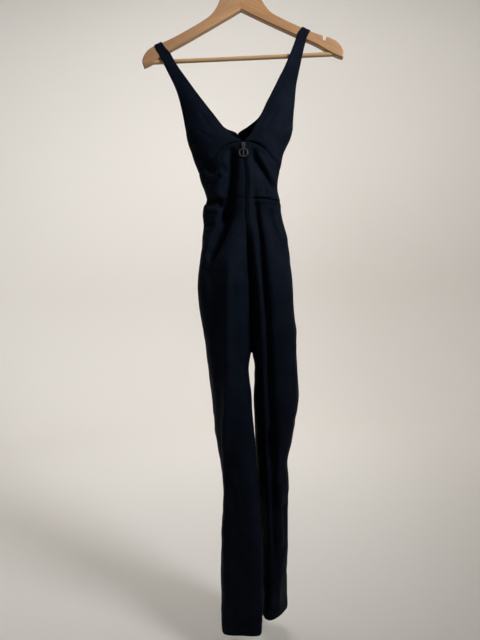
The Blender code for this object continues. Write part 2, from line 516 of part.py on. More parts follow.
def make_legs(surfaces):
    hem = HEM_Z - SEAM_GAP / 2
    for half in "lr":
        for face in ("front", "back"):
            panel(surfaces, f"pants_{face}_{half}", half, face, leg_rows(), waist,
                  lambda side, share: hem)


def make_midriff(surfaces):
    steps = np.linspace(0.0, 1.0, MIDRIFF_ROWS["front"] + 1)
    for half in "lr":
        panel(surfaces, f"midriff_front_{half}", half, "front", steps, underbust, waist)
    points, normals = [], []
    across = np.linspace(0.0, 1.0, COLUMNS["back"] + 1)
    for v in np.linspace(0.0, 1.0, MIDRIFF_ROWS["back"] + 1):
        line = [], []
        columns = [("l", t) for t in across] + [("r", t) for t in across[-2::-1]]
        for half, t in columns:
            upper = BACK_SEAM_Z - SEAM_GAP / 2
            z = upper + (waist(half, t) + SEAM_GAP / 2 - upper) * v
            surface = surfaces[half, "back"]
            point, normal = surface.at(share_at(surface, t, z, trim=False), z)
            if t == 1.0:
                other = surfaces["r", "back"].at(1.0, z)
                point, normal = (point + other[0]) / 2, (normal + other[1]) / 2
            line[0].append(point)
            line[1].append(normal)
        points.append(line[0])
        normals.append(line[1])
    cloth_object("midriff_back", points, normals)


# ------------------------------------------------------ straps, bust, upper back
def tilted(x, z):
    """A point of the hanger, drawn level, where the tilted hanger has it."""
    c, s = math.cos(HANGER_TILT), math.sin(HANGER_TILT)
    return x * c - z * s, x * s + z * c


def arm_height(x):
    """Height of the top edge of the tilted arm at x."""
    side = 1 if x > 0 else -1
    edge = [tilted(side * px, pz) for px, pz in ARM_TOP]
    edge.sort()
    return float(np.interp(x, [p[0] for p in edge], [p[1] for p in edge]))


def strap_rows(half, face):
    """Rows of the loft as tables of the strap columns, from the shoulder down."""
    out = -1 if face == "front" else 1
    outer, inner = SHOULDER_X[half]
    table = BUST_ROWS if face == "front" else BACK_ROWS
    first = table[half][0]
    rows = []
    for share, height in WRAP:
        drop = min(0.0, height) / -0.02
        xo = outer + (first[0] - outer) * drop * 0.8
        xi = inner + (first[3] - inner) * drop * 0.8
        y = out * STRAP_FACE * share
        if share == WRAP[0][0]:
            y = out * SEAM_GAP / 2
        rows.append((xo, y, arm_height(outer) + height, xi, y, arm_height(inner) + height, 0.0, 0.0))
    return rows + list(table[half])


def strap_line(row, out):
    """One row of the loft as a line of points from the outer to the inner edge."""
    xo, yo, zo, xi, yi, zi, turn, bulge = row
    s = np.linspace(0.0, 1.0, STRAP_SAMPLES)
    across = (1 - turn) * s + turn * (1 - np.cos(np.pi * s / 2))
    depth = (1 - turn) * s + turn * np.sin(np.pi * s / 2)
    x = xo + (xi - xo) * across
    y = yo + (yi - yo) * depth + out * bulge * np.sin(np.pi * s)
    z = zo + (zi - zo) * across
    return np.stack([x, y, z], axis=1)


def seam_line(surface, shares, drop):
    """The top seam of the piece below, as points for the columns of the loft."""
    points, normals = [], []
    for t in shares:
        z = (underbust(surface.half, t) if surface.face == "front" else BACK_SEAM_Z)
        z = z + SEAM_GAP / 2 - drop
        share = share_at(surface, t, z)
        point, normal = surface.at(share, z)
        points.append(point)
        normals.append(normal)
    return np.array(points), np.array(normals)


def keep_to_side(grid, half):
    """Keeps a back piece on its own side of the centre-back seam."""
    centre = np.interp(-grid[:, :, 2], [-row[0] for row in LEFT_SECTIONS[:3]],
                       [row[SECTION_COLUMNS.index("back_x")] for row in LEFT_SECTIONS[:3]])
    if half == "l":
        grid[:, :, 0] = np.minimum(grid[:, :, 0], centre - SEAM_GAP / 2)
    else:
        grid[:, :, 0] = np.maximum(grid[:, :, 0], centre + SEAM_GAP / 2)


def make_upper(surfaces, half, face):
    """A bust front with its strap, or a back with its strap."""
    surface = surfaces[half, face]
    out = -1 if face == "front" else 1
    shares = np.linspace(0.0, 1.0, COLUMNS[face] + 1)
    lines = np.array([strap_line(row, out) for row in strap_rows(half, face)])
    lines, _ = even_along(lines, shares)
    seam, seam_normal = seam_line(surface, shares, 0.0)
    beyond, _ = seam_line(surface, shares, 0.02)
    stations = np.concatenate([lines, seam[None], beyond[None]])
    gaps = np.linalg.norm(np.diff(stations, axis=0), axis=2).mean(axis=1)
    knots = np.concatenate([[0.0], np.cumsum(gaps)])
    wrap, corner, last = knots[[len(WRAP) - 1, -4, -2]]
    below_corner = UPPER_ROWS_BELOW[face]
    steps = UPPER_ROWS[face] - len(WRAP) + 2 - below_corner
    levels = np.concatenate([knots[:len(WRAP)], np.linspace(wrap, corner, steps)[1:],
                             np.linspace(corner, last, below_corner + 1)[1:]])
    flat = stations.reshape(len(stations), -1)
    grid = smooth_columns(knots, flat, levels).reshape(len(levels), -1, 3)
    above = smooth_columns(knots, flat, levels - SLOPE_REACH).reshape(grid.shape)
    below = smooth_columns(knots, flat, levels + SLOPE_REACH).reshape(grid.shape)
    normals = np.cross(np.gradient(grid, axis=1), below - above)
    normals /= np.linalg.norm(normals, axis=2, keepdims=True)
    normals *= facing(half, face)
    normals[-1] = seam_normal
    least = SEAM_GAP / 2 + CLOTH / 2 * np.abs(normals[:, :, 1])
    grid[:, :, 1] = out * np.maximum(out * grid[:, :, 1], least)
    if face == "back":
        keep_to_side(grid, half)
    name = f"bust_front_{half}" if face == "front" else f"back_upper_{half}"
    return cloth_object(name, grid, normals)


# ----------------------------------------------------------------------- the zip
def centre_front(surfaces, z):
    """Middle of the centre front at a height."""
    return (surfaces["l", "front"].at(1.0, z)[0] + surfaces["r", "front"].at(1.0, z)[0]) / 2


def make_zip_tape(surfaces):
    """The closed chain in the centre-front slot, on a tape behind the two fronts."""
    behind = -CLOTH / 2 - SEAM_GAP
    side = ((TAPE_HALF, 0.0), (CHAIN_HALF + CHAIN_SLANT, 0.0), (CHAIN_HALF - CHAIN_SLANT, 1.0))
    columns = [(-x, chain) for x, chain in side] + list(side[::-1])
    levels = list(np.linspace(ZIP_TOP_Z, ZIP_END_Z, ZIP_ROWS))
    ends = list(np.linspace(ZIP_END_Z - CHAIN_SLANT * 4, TAPE_END_Z, TAPE_END_ROWS))
    points, normals = [], []
    for z in levels + ends:
        line = []
        for across, _ in columns:
            surface = surfaces["l" if across < 0 else "r", "front"]
            edge = surface.at(share_at(surface, 1.0, z), z)
            inward = surface.at(share_at(surface, 1 - 1 / COLUMNS["front"], z), z)
            away = inward[0] - edge[0]
            reach = abs(across) - centre_trim(z)
            line.append((edge[0] + away / np.linalg.norm(away) * reach, edge[1]))
        points.append([point for point, _ in line])
        normals.append([normal for _, normal in line])
    chain = np.array([share for _, share in columns])[None, :, None]
    has_chain = np.array([1.0] * len(levels) + [0.0] * len(ends))[:, None, None]
    outer = behind + (CHAIN_PROUD - behind) * chain * has_chain
    bm = slab(np.array(points), np.array(normals), outer, behind - TAPE_THICK)
    return add_object("zip_tape", bm, "zip_tape")


def rounded_box(size, radius):
    bm = bmesh.new()
    bmesh.ops.create_cube(bm, size=1.0, matrix=Matrix.Diagonal((*size, 1.0)))
    bmesh.ops.bevel(bm, geom=list(bm.edges), offset=radius, segments=2, profile=0.5, affect="EDGES")
    return bm


def curve_mesh(name, curve, material):
    """A curve turned into a welded mesh object."""
    guide = bpy.data.objects.new(name + "_curve", curve)
    bpy.context.scene.collection.objects.link(guide)
    bpy.context.view_layer.update()
    mesh = bpy.data.meshes.new_from_object(guide.evaluated_get(bpy.context.evaluated_depsgraph_get()))
    bm = bmesh.new()
    bm.from_mesh(mesh)
    bmesh.ops.remove_doubles(bm, verts=bm.verts, dist=0.00002)
    bmesh.ops.recalc_face_normals(bm, faces=bm.faces)
    bpy.data.objects.remove(guide)
    return add_object(name, bm, material)


def wire_curve(name, points, radius, sides=2):
    curve = bpy.data.curves.new(name, "CURVE")
    curve.dimensions = "3D"
    curve.bevel_depth = radius
    curve.bevel_resolution = sides
    curve.use_fill_caps = True
    spline = curve.splines.new("POLY")
    spline.points.add(len(points) - 1)
    for target, point in zip(spline.points, points):
        target.co = (*point, 1.0)
    return curve


def flat_curve(name, outlines, thickness):
    """A flat plate with holes, drawn in its own XY plane: the first outline is the rim."""
    curve = bpy.data.curves.new(name, "CURVE")
    curve.dimensions = "2D"
    curve.fill_mode = "BOTH"
    curve.extrude = thickness / 2
    for outline in outlines:
        spline = curve.splines.new("POLY")
        spline.points.add(len(outline) - 1)
        for target, point in zip(spline.points, outline):
            target.co = (point[0], point[1], 0.0, 1.0)
        spline.use_cyclic_u = True
    return curve


def make_slider(y_back):
    """The slider's body with its crown, the arch that holds the pull."""
    bm = rounded_box(SLIDER, SLIDER_ROUND)
    bmesh.ops.translate(bm, verts=bm.verts, vec=(ZIP_X, y_back - SLIDER[1] / 2, SLIDER_Z))
    slider = add_object("zip_slider", bm, "dark_metal")
    front = y_back - SLIDER[1]
    arch = [(ZIP_X, front + CROWN_SUNK, PULL_AXIS_Z + CROWN_HALF)]
    for out, up in arc((0.0, 0.0), 1.0, 90, -90, 9):
        arch.append((ZIP_X, front - CROWN_REACH * out, PULL_AXIS_Z + CROWN_HALF * up))
    arch.append((ZIP_X, front + CROWN_SUNK, PULL_AXIS_Z - CROWN_HALF))
    crown = curve_mesh("crown", wire_curve("crown", arch, CROWN_WIRE_R, sides=1), "dark_metal")
    join = slider.modifiers.new("crown", "BOOLEAN")
    join.operation = "UNION"
    join.object = crown
    crown.hide_render = True
    crown.display_type = "WIRE"
    bpy.data.collections[COLLECTION].objects.unlink(crown)
    bpy.data.collections["cutters"].objects.link(crown)
    return front


def arc(centre, radius, start, end, count):
    """Points of an arc in degrees, both ends included."""
    out = []
    for k in range(count):
        angle = math.radians(start + (end - start) * k / (count - 1))
        out.append((centre[0] + radius * math.cos(angle), centre[1] + radius * math.sin(angle)))
    return out


def make_pull(front):
    """The pull: an eye on the slider's crown, a short neck and a plain ring with one bar."""
    centre = (0.0, -PULL_RING_DROP)
    top, shoulder = PULL_HEAD
    meet = math.degrees(math.asin(PULL_NECK_HALF / PULL_RING_R))
    rim = [(-PULL_HEAD_HALF, top), (PULL_HEAD_HALF, top), (PULL_HEAD_HALF, shoulder)]
    rim += [(PULL_NECK_HALF, PULL_NECK_END)] + arc(centre, PULL_RING_R, 90 - meet, -270 + meet, 25)
    rim += [(-PULL_NECK_HALF, PULL_NECK_END), (-PULL_HEAD_HALF, shoulder)]
    (wide, high), (narrow, low) = PULL_EYE
    eye = [(-wide, high), (wide, high), (narrow, low), (-narrow, low)]
    edge = math.degrees(math.asin(PULL_BAR_HALF / PULL_HOLE_R))
    right = arc(centre, PULL_HOLE_R, 90 - edge, -90 + edge, 10)
    left = arc(centre, PULL_HOLE_R, 90 + edge, 270 - edge, 10)
    curve = flat_curve("zip_pull", (rim, eye, right, left), PULL_THICK)
    pull = curve_mesh("zip_pull", curve, "dark_metal")
    pull.data.transform(Matrix.Rotation(math.radians(90), 4, "X"))
    pull.location = (ZIP_X, front - PULL_OUT, PULL_AXIS_Z)


# ------------------------------------------------------------------- the hanger
def cutter(name, bm):
    mesh = bpy.data.meshes.new(name)
    bm.to_mesh(mesh)
    bm.free()
    obj = bpy.data.objects.new(name, mesh)
    obj.hide_render = True
    obj.display_type = "WIRE"
    bpy.data.collections["cutters"].objects.link(obj)
    return obj


def cut(obj, tool):
    modifier = obj.modifiers.new(tool.name, "BOOLEAN")
    modifier.operation = "DIFFERENCE"
    modifier.object = tool


def cylinder(radius, start, end, sides=20):
    """A closed cylinder between two points."""
    start, end = Vector(start), Vector(end)
    bm = bmesh.new()
    bmesh.ops.create_cone(bm, cap_ends=True, segments=sides, radius1=radius, radius2=radius,
                          depth=(end - start).length)
    turn = Vector((0, 0, 1)).rotation_difference(end - start).to_matrix().to_4x4()
    bmesh.ops.transform(bm, matrix=Matrix.Translation((start + end) / 2) @ turn, verts=bm.verts)
    return bm


def hanger_turn():
    return Matrix.Rotation(-HANGER_TILT, 4, "Y")


def make_arm(side):
    """One wooden arm: a flat rounded board with a notch, drilled for the bar and the hook."""
    name = "hanger_arm_" + ("l" if side < 0 else "r")
    outline = [(max(x, SEAM_GAP / 2), z) for x, z in ARM_TOP + ARM_UNDER]
    bm = bmesh.new()
    verts = [bm.verts.new((side * x, -WOOD_THICK / 2, z)) for x, z in outline]
    face = bm.faces.new(verts)
    grown = bmesh.ops.extrude_face_region(bm, geom=[face])["geom"]
    bmesh.ops.translate(bm, vec=(0, WOOD_THICK, 0), verts=[v for v in grown if isinstance(v, bmesh.types.BMVert)])
    bmesh.ops.recalc_face_normals(bm, faces=bm.faces)
    sharp = [e for e in bm.edges if e.calc_face_angle() > math.radians(60)
             and max(abs(v.co.x) for v in e.verts) > 0.001]
    bmesh.ops.bevel(bm, geom=sharp, offset=WOOD_ROUND, segments=2, profile=0.5, affect="EDGES")
    arm = add_object(name, bm, "beech_wood")
    arm.matrix_world = hanger_turn()
    notch_z = float(np.interp(NOTCH["x"], [p[0] for p in ARM_TOP], [p[1] for p in ARM_TOP]))
    bm = bmesh.new()
    size = (NOTCH["width"], 2 * WOOD_THICK, 2 * NOTCH["depth"])
    bmesh.ops.create_cube(bm, size=1.0, matrix=Matrix.Diagonal((*size, 1.0)))
    bmesh.ops.translate(bm, verts=bm.verts, vec=(side * NOTCH["x"], 0.0, notch_z))
    tools = [cutter(name + "_notch", bm)]
    start = (side * 0.17, 0.0, BAR_Z)
    end = (side * (BAR_HALF + SEAM_GAP), 0.0, BAR_Z)
    tools.append(cutter(name + "_bar_hole", cylinder(BAR_R + SEAM_GAP, start, end)))
    stem = cylinder(WIRE_R + SEAM_GAP, (0, 0, STEM_END_Z - SEAM_GAP), (0, 0, -0.06), sides=12)
    tools.append(cutter(name + "_stem_hole", stem))
    for tool in tools:
        tool.matrix_world = hanger_turn()
        cut(arm, tool)
    return arm


def make_hanger():
    for side in (-1, 1):
        make_arm(side)
    bar = add_object("hanger_bar", cylinder(BAR_R, (-BAR_HALF, 0, BAR_Z), (BAR_HALF, 0, BAR_Z)), "beech_wood")
    bar.matrix_world = hanger_turn()
    centre = -(HOOK_R - WIRE_R)
    points = [(0.0, 0.0, STEM_END_Z), (0.0, 0.0, -0.062), (0.0, 0.0, -0.056), (0.0016, 0.0, -0.050),
              (0.0062, 0.0, -0.0445)]
    for x, z in arc((0.0, centre), HOOK_R, -58, 205, 28):
        points.append((x, 0.0, z))
    hook = curve_mesh("hanger_hook", wire_curve("hanger_hook", points, WIRE_R), "hook_steel")
    hook.matrix_world = hanger_turn()


# ------------------------------------------------------------------------- build
def clear_scene():
    for obj in list(bpy.data.objects):
        bpy.data.objects.remove(obj)
    for name in (COLLECTION, "cutters"):
        collection = bpy.data.collections.new(name)
        bpy.context.scene.collection.children.link(collection)


def make_materials():
    for name, (colour, roughness, metallic) in MATERIALS.items():
        material = bpy.data.materials.new(name)
        material.use_nodes = True
        shader = material.node_tree.nodes["Principled BSDF"]
        shader.inputs["Base Color"].default_value = (*colour, 1.0)
        shader.inputs["Roughness"].default_value = roughness
        shader.inputs["Metallic"].default_value = metallic


clear_scene()
make_materials()
cloth = {(half, face): Surface(half, face) for half in "lr" for face in ("front", "back")}
make_legs(cloth)
make_midriff(cloth)
for side_name in "lr":
    for face_name in ("front", "back"):
        make_upper(cloth, side_name, face_name)
make_zip_tape(cloth)
zip_point = centre_front(cloth, SLIDER_Z)
ZIP_X = float(zip_point[0])
make_pull(make_slider(float(zip_point[1]) - CLOTH / 2 - SEAM_GAP))
make_hanger()
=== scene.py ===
"""Looks of the sleeveless zip-front jumpsuit that hangs on a wooden coat hanger.

Metres, +Z up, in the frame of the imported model. The front faces -Y and +X is to the right of
someone who looks at the front. Left and right, "l" and "r", are as seen from the front.
Every cloth piece is a thin wall on the same worked-out form as its solid, with a finer grid,
finer creases, turned edges and sewing. The tables of the cloth's form are those of the solids.
"""
import json
import math

import bmesh
import bpy
import numpy as np
from mathutils import Matrix, Vector


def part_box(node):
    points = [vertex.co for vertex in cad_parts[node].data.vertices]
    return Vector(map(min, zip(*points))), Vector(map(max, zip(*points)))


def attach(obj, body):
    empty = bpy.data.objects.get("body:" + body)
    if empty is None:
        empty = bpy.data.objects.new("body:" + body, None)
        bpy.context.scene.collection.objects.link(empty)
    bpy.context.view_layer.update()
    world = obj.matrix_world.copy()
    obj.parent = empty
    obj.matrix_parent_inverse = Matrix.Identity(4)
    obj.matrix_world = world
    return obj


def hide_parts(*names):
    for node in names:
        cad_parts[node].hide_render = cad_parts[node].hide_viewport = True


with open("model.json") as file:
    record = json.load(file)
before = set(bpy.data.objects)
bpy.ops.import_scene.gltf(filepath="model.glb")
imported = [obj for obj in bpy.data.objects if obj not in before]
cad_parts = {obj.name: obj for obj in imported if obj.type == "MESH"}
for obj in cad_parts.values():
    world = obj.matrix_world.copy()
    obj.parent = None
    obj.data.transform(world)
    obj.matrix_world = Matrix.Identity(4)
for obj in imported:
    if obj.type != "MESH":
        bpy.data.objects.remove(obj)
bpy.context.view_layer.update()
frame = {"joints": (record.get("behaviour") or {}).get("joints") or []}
HINGE = frame["joints"][0]["pos_m"]

MM = 0.001                # the long tables are in millimetres
SIDE = {"l": -1, "r": 1}
OUT = {"front": -1, "back": 1}
X_AXIS = np.array([1.0, 0.0, 0.0])

# ---------------------------------------------------------------- driving sizes
CLOTH = 0.0014            # wall of the doubled stretch knit
SEAM_GAP = 0.0003
EDGE_IN = (SEAM_GAP + CLOTH) / 2    # from a seam's line to the last row of the walls' points
HEM_Z = -1.494
ZIP_TOP_Z = -0.4465
ZIP_END_Z = -0.606
SLOT_Z = (-0.6076, -0.6124)   # where the chain's slot begins to close, and where it is a seam
TAPE_END_Z = -0.6155

HANGER_TILT = math.radians(1.05)
HANGER_TURN = Matrix.Rotation(-HANGER_TILT, 4, "Y")
WOOD_THICK = 0.014
WOOD_ROUND = 0.0026
BAR_R = 0.00475
BAR_Z = -0.2445
BAR_HALF = 0.212
HOOK_R = 0.0218           # to the wire's centre line
WIRE_R = 0.0018
STEM_END_Z = -0.103
HOOK_ARC = (-58, 205)     # where the hook's arc starts and ends, in degrees up from +X
# x and z of the wire where its stem bends over into the hook's arc.
HOOK_STEM = ((0.0, -0.062), (0.0, -0.056), (0.0005, -0.053), (0.0016, -0.050), (0.0035, -0.0470),
             (0.0062, -0.0445))
STRAP_FACE = WOOD_THICK / 2 + SEAM_GAP + CLOTH / 2    # y of a strap's middle beside the arm

CHAIN_HALF = 0.0023       # half the width of the zip's closed chain
TAPE_HALF = 0.0065
TAPE_THICK = 0.0010
SLIDER_THICK = 0.0022
SLIDER_Z = -0.4532
SLIDER_ROUND = 0.0005
# Half outline of the slider, x and z from its middle: shoulders above, a waist, a straight mouth.
SLIDER_OUTLINE = ((0.0013, 0.0045), (0.0030, 0.0043), (0.00375, 0.0033), (0.00375, 0.0012),
                  (0.0033, -0.0002), (0.00315, -0.0040), (0.0027, -0.0045))
CROWN_REACH = 0.0030      # how far the crown's arch stands out
CROWN_HALF = 0.0032       # half its height
CROWN_WIRE_R = 0.0006
CROWN_SUNK = 0.0008
PULL_OUT = 0.0012         # hinge line in front of the slider's face
PULL_THICK = 0.0012
PULL_ROUND = 0.00035
PULL_CORNER = 0.0006
PULL_HEAD_HALF = 0.0043
PULL_HEAD = (0.0007, -0.0020)    # heights of the head's straight sides, from the hinge line
PULL_NECK_HALF = 0.0021
PULL_NECK_END = -0.0080
PULL_EYE = ((0.0024, -0.0008), (0.0020, -0.0050))   # half width and height, top and bottom
PULL_RING_R = 0.010
PULL_HOLE_R = 0.0072
PULL_BAR_HALF = 0.0013
PULL_RING_DROP = 0.0186   # from the hinge line down to the ring's centre

# ------------------------------------------------------------ sewing and zip teeth
STITCH_LENGTH = 0.0030
STITCH_PITCH = 0.0037
STITCH_R = 0.00024
# Share of the length, share of the radius, and lift above the cloth in radii, for each ring.
STITCH_PROFILE = ((0.0, 0.35, -1.2), (0.14, 0.85, 0.1), (0.5, 1.0, 0.6), (0.86, 0.85, 0.1),
                  (1.0, 0.35, -1.2))
TOOTH_R = 0.00034
TOOTH_PITCH = 0.0014
TOOTH_OUT = 0.0002        # the teeth's line, out from the middle of the cloth
TOOTH_REACH = (0.0021, 0.0006)    # to its own side, and past the centre line
TOOTH_PROFILE = ((0.0, 0.45, -0.9), (0.12, 0.9, -0.1), (0.45, 1.0, 0.2), (0.85, 1.15, 0.2),
                 (1.0, 0.6, 0.1))
STOP = (0.0040, 0.0016, 0.0030)   # width, depth and height of the zip's bottom stop
STOP_ROUND = 0.0005
BINDING_HALF = 0.0030     # the seam allowances behind a centre seam
BINDING_THICK = 0.0008
BINDING_GAP = 0.0004
BINDING_COLUMNS = 5
BINDING_END = 0.004       # how far from a seam's ends its binding stops
BINDING_CLEAR = 0.010     # clear of the zip and the centre seam
BACK_NECK_Z = -0.4035     # where the centre-back seam begins
TAPE_ROWS = 60
TAPE_COLUMNS = 14

# ----------------------------------------------------------------- looks of things
KNIT_WALE = 0.0010        # from one column of loops to the next
KNIT_COURSE = 0.0008
KNIT_LEAN = 1.3           # how far the loops lean, in radians of a course
KNIT_COURSE_SHARE = 0.35  # height of the courses, as a share of the columns'
KNIT_BUMP = 0.00010
FUZZ_BUMP = 0.00012
THREAD_BUMP = 0.00008
TAPE_BUMP = 0.00010
SCRATCH_BUMP = 0.00002
BEECH_BUMP = 0.00012
# Scales along and across the board, in cycles to a metre, of the beech's textures.
BEECH_GRAIN = (6.0, 120.0, 120.0)
BEECH_BANDS = (2.2, 22.0, 34.0)
BEECH_FLECKS = (210.0, 900.0, 1500.0)
HERRINGBONE = (0.0016, 0.0007)    # the zip tape's: width of a column, and from rib to rib
FLECK_TONE = 0.45         # a beech fleck's colour, as a share of the wood's dark tone
FLECK_STRENGTH = 0.30     # how fully a fleck covers the wood's colour
GRAIN_SHARE = 0.55        # of the beech's tone, the rest is the bands'
# The dark and the light tone of each finish.
TONES = {
    "knit": ((0.0031, 0.0046, 0.0086), (0.0047, 0.0069, 0.0126)),
    "thread": ((0.0030, 0.0038, 0.0058), (0.0056, 0.0070, 0.0102)),
    "tape": ((0.0018, 0.0025, 0.0045), (0.0034, 0.0046, 0.0082)),
    "coil": ((0.0022, 0.0031, 0.0056), (0.0036, 0.0050, 0.0088)),
    "gunmetal": ((0.050, 0.053, 0.062), (0.110, 0.117, 0.134)),
    "nickel": ((0.50, 0.50, 0.49), (0.66, 0.66, 0.645)),
    "beech_l": ((0.225, 0.115, 0.053), (0.390, 0.218, 0.106)),
    "beech_r": ((0.230, 0.113, 0.046), (0.385, 0.209, 0.091)),
    "beech_joint": ((0.105, 0.052, 0.026), (0.150, 0.080, 0.041)),
    "beech_bar": ((0.300, 0.182, 0.082), (0.420, 0.268, 0.130)),
}
ARM_SLOPE = math.radians(27.5)
ARM_POINTS = 85
NOTCH_EDGE = 0.0004       # softening of the edges of the notch and the joint
JOINT_REACH = 0.006       # how far past the joint an arm is drawn before it is cut square
SHARP_ANGLE = math.radians(40)
CUT_ANGLE = math.radians(50)      # an edge of a cut board that is sharper than this is softened
MERGE = 0.00001           # points of a curve's mesh that are nearer than this are one

# ------------------------------------------------------------ stage, light, camera
CAMERA_PLACE = (-0.018, -1.07, -0.826)
CAMERA_LENS = 27.06       # for a 36 mm long side
CAMERA_ROLL = math.radians(1.55)
FLOOR_Z = -1.56
STAGE_FLOOR_R = 2.3
STAGE_ROUND = 1.0
STAGE_TOP_Z = 3.4
STAGE_COLOUR = (0.80, 0.775, 0.74)
WORLD_COLOUR = (1.0, 0.985, 0.96)
WORLD_STRENGTH = 0.14
LIGHTS = {
    # name: place, point it is aimed at, width across, spread in degrees, power, colour
    "key": ((1.25, -1.05, 0.30), (0.0, 0.0, -0.05), 0.6, 92, 14.0, (0.97, 0.985, 1.0)),
    "wall_left": ((-1.5, 0.8, 1.3), (0.6, 3.4, 0.2), 1.2, 150, 12.5, (1.0, 0.985, 0.965)),
    "wall_right": ((1.5, 0.8, 1.3), (-0.6, 3.4, 0.2), 1.2, 150, 14.5, (1.0, 0.985, 0.965)),
    "wall_top": ((0.0, 1.3, 2.4), (0.0, 3.4, 0.7), 1.2, 120, 9.0, (1.0, 0.985, 0.965)),
    "floor": ((0.0, 0.9, 2.2), (0.0, 1.9, -1.56), 1.2, 100, 12.0, (1.0, 0.985, 0.965)),
}

# ------------------------------------------------ sections of the hanging garment
# One row for each level, in millimetres but for the clefts. The inner edge of a half is the
# centre front or back above the crotch, and the inseam below it. A cleft of 0 is flat across the
# centre, 1 is folded right in. The outlines are measured ones, rounded to 0.5 mm.
SECTION_COLUMNS = ("z", "outline", "side_y", "front_x", "front_y", "front_deep", "front_cleft",
                   "back_x", "back_y", "back_deep", "back_cleft")
# Down to the hips the halves differ in their outlines alone, which are the second and the third
# number. The side's y is 0.
TRUNK_SECTIONS = (
    (-430, -123, 101, -2, -44, 50, 0, -12, 34, 40, 0),
    (-455, -115, 89, -1, -46, 50, 0, -10, 38, 42, 0),
    (-487, -104, 82, 1.5, -48, 52, 0, -6, 41, 44, 0),
    (-521, -94.5, 73, 3.5, -50, 55, 0, -2, 43, 46, 0),
    (-545, -86.5, 72.5, 3.5, -51, 56, 0, 1, 44, 48, 0),
    (-557, -84.5, 75, 3, -51, 57, 0, 2, 45, 49, 0),
    (-570, -90, 78, 2.5, -51, 58, 0, 2.5, 46, 50, 0),
    (-592, -94, 78.5, 1.5, -50, 60, 0, 3, 47, 52, 0.08),
    (-615, -93, 83.5, 1, -49, 61, 0.04, 3.5, 46, 55, 0.2),
    (-650, -96, 91, 2, -42, 62, 0.35, 4, 42, 58, 0.45),
    (-700, -103.5, 96, 5, -30, 62, 0.75, 5.5, 34, 60, 0.75),
)
LEG_SECTIONS = {
    "l": (
        (-752, -109.5, 0, 7.5, -20, 62, 1, 7, 26, 62, 1),
        (-800, -106.5, 0, 7.5, -13, 62, 1, 7, 18, 63, 1),
        (-850, -99.5, 0, 6.5, -7, 63, 1, 6.5, 11, 64, 1),
        (-899, -95, 0, 4.5, 0, 63, 1, 4.5, 0, 63, 1),
        (-924, -92.5, 0, -0.5, -2, 60, 1, -0.5, -2, 63, 1),
        (-978, -87.5, -1, 1.8, -8, 53, 1, 1.8, -8, 62, 1),
        (-1034, -82.5, -2, 4.5, -13, 48, 1, 4.5, -13, 61, 1),
        (-1100, -75.5, -3, 8, -19, 43, 1, 8, -19, 62, 1),
        (-1150, -68.5, -3, 10, -23, 41, 1, 10, -23, 62, 1),
        (-1199, -64, -4, 11, -26, 40, 1, 11, -26, 62, 1),
        (-1270, -69.5, -4, 14.5, -28, 40, 1, 14.5, -28, 64, 1),
        (-1340, -73.5, -4, 17.5, -28, 41, 1, 17.5, -28, 65, 1),
        (-1430, -75.5, -4, 14.5, -24, 42, 1, 14.5, -24, 64, 1),
        (-1510, -75, -4, 11, -20, 43, 1, 11, -20, 63, 1),
    ),
    "r": (
        (-752, 99.5, 1, 7.5, -20, 61, 1, 7, 26, 62, 1),
        (-800, 101, 2, 7.5, -13, 60, 1, 7, 18, 63, 1),
        (-850, 105, 3, 6.5, -7, 59, 1, 6.5, 11, 64, 1),
        (-899, 105, 5, 7.5, 0, 58, 1, 7.5, 0, 64, 1),
        (-924, 105.5, 6, 11.5, 5, 57, 1, 11.5, 5, 62, 1),
        (-978, 108.5, 10, 9, 13, 56, 1, 9, 13, 57, 1),
        (-1010, 107.5, 13, 8.3, 18, 56, 1, 8.3, 18, 54, 1),
        (-1050, 100, 17, 8.6, 24, 55, 1, 8.6, 24, 51, 1),
        (-1100, 91.5, 22, 8.8, 33, 55, 1, 8.8, 33, 48, 1),
        (-1150, 80.5, 27, 9.2, 40, 55, 1, 9.2, 40, 46, 1),
        (-1185, 83, 30, 9.8, 44, 56, 1, 9.8, 44, 46, 1),
        (-1240, 80, 35, 11.5, 50, 57, 1, 11.5, 50, 46, 1),
        (-1335, 78, 41, 14, 55, 58, 1, 14, 55, 47, 1),
        (-1430, 74, 46, 14, 58, 59, 1, 14, 58, 48, 1),
        (-1510, 75, 49, 12.5, 59, 59, 1, 12.5, 59, 49, 1),
    ),
}

# How square the folded-in lobes of a section are, by level.
SQUARE_LEVELS = ((-0.60, 1.3), (-0.90, 1.3), (-1.05, 0.9), (-1.20, 0.6), (-1.51, 0.6))

# How the front of a leg changes towards its hem: pressed square, turned away at the inseam,
# and leaning so that it is deepest nearer the inseam.
HEM_PRESS_TOP = -1.330
HEM_PRESS = {"l": {"square": 2.6, "turn": 0.25, "lean": 0.0},
             "r": {"square": 0.0, "turn": 0.0, "lean": 0.7}}

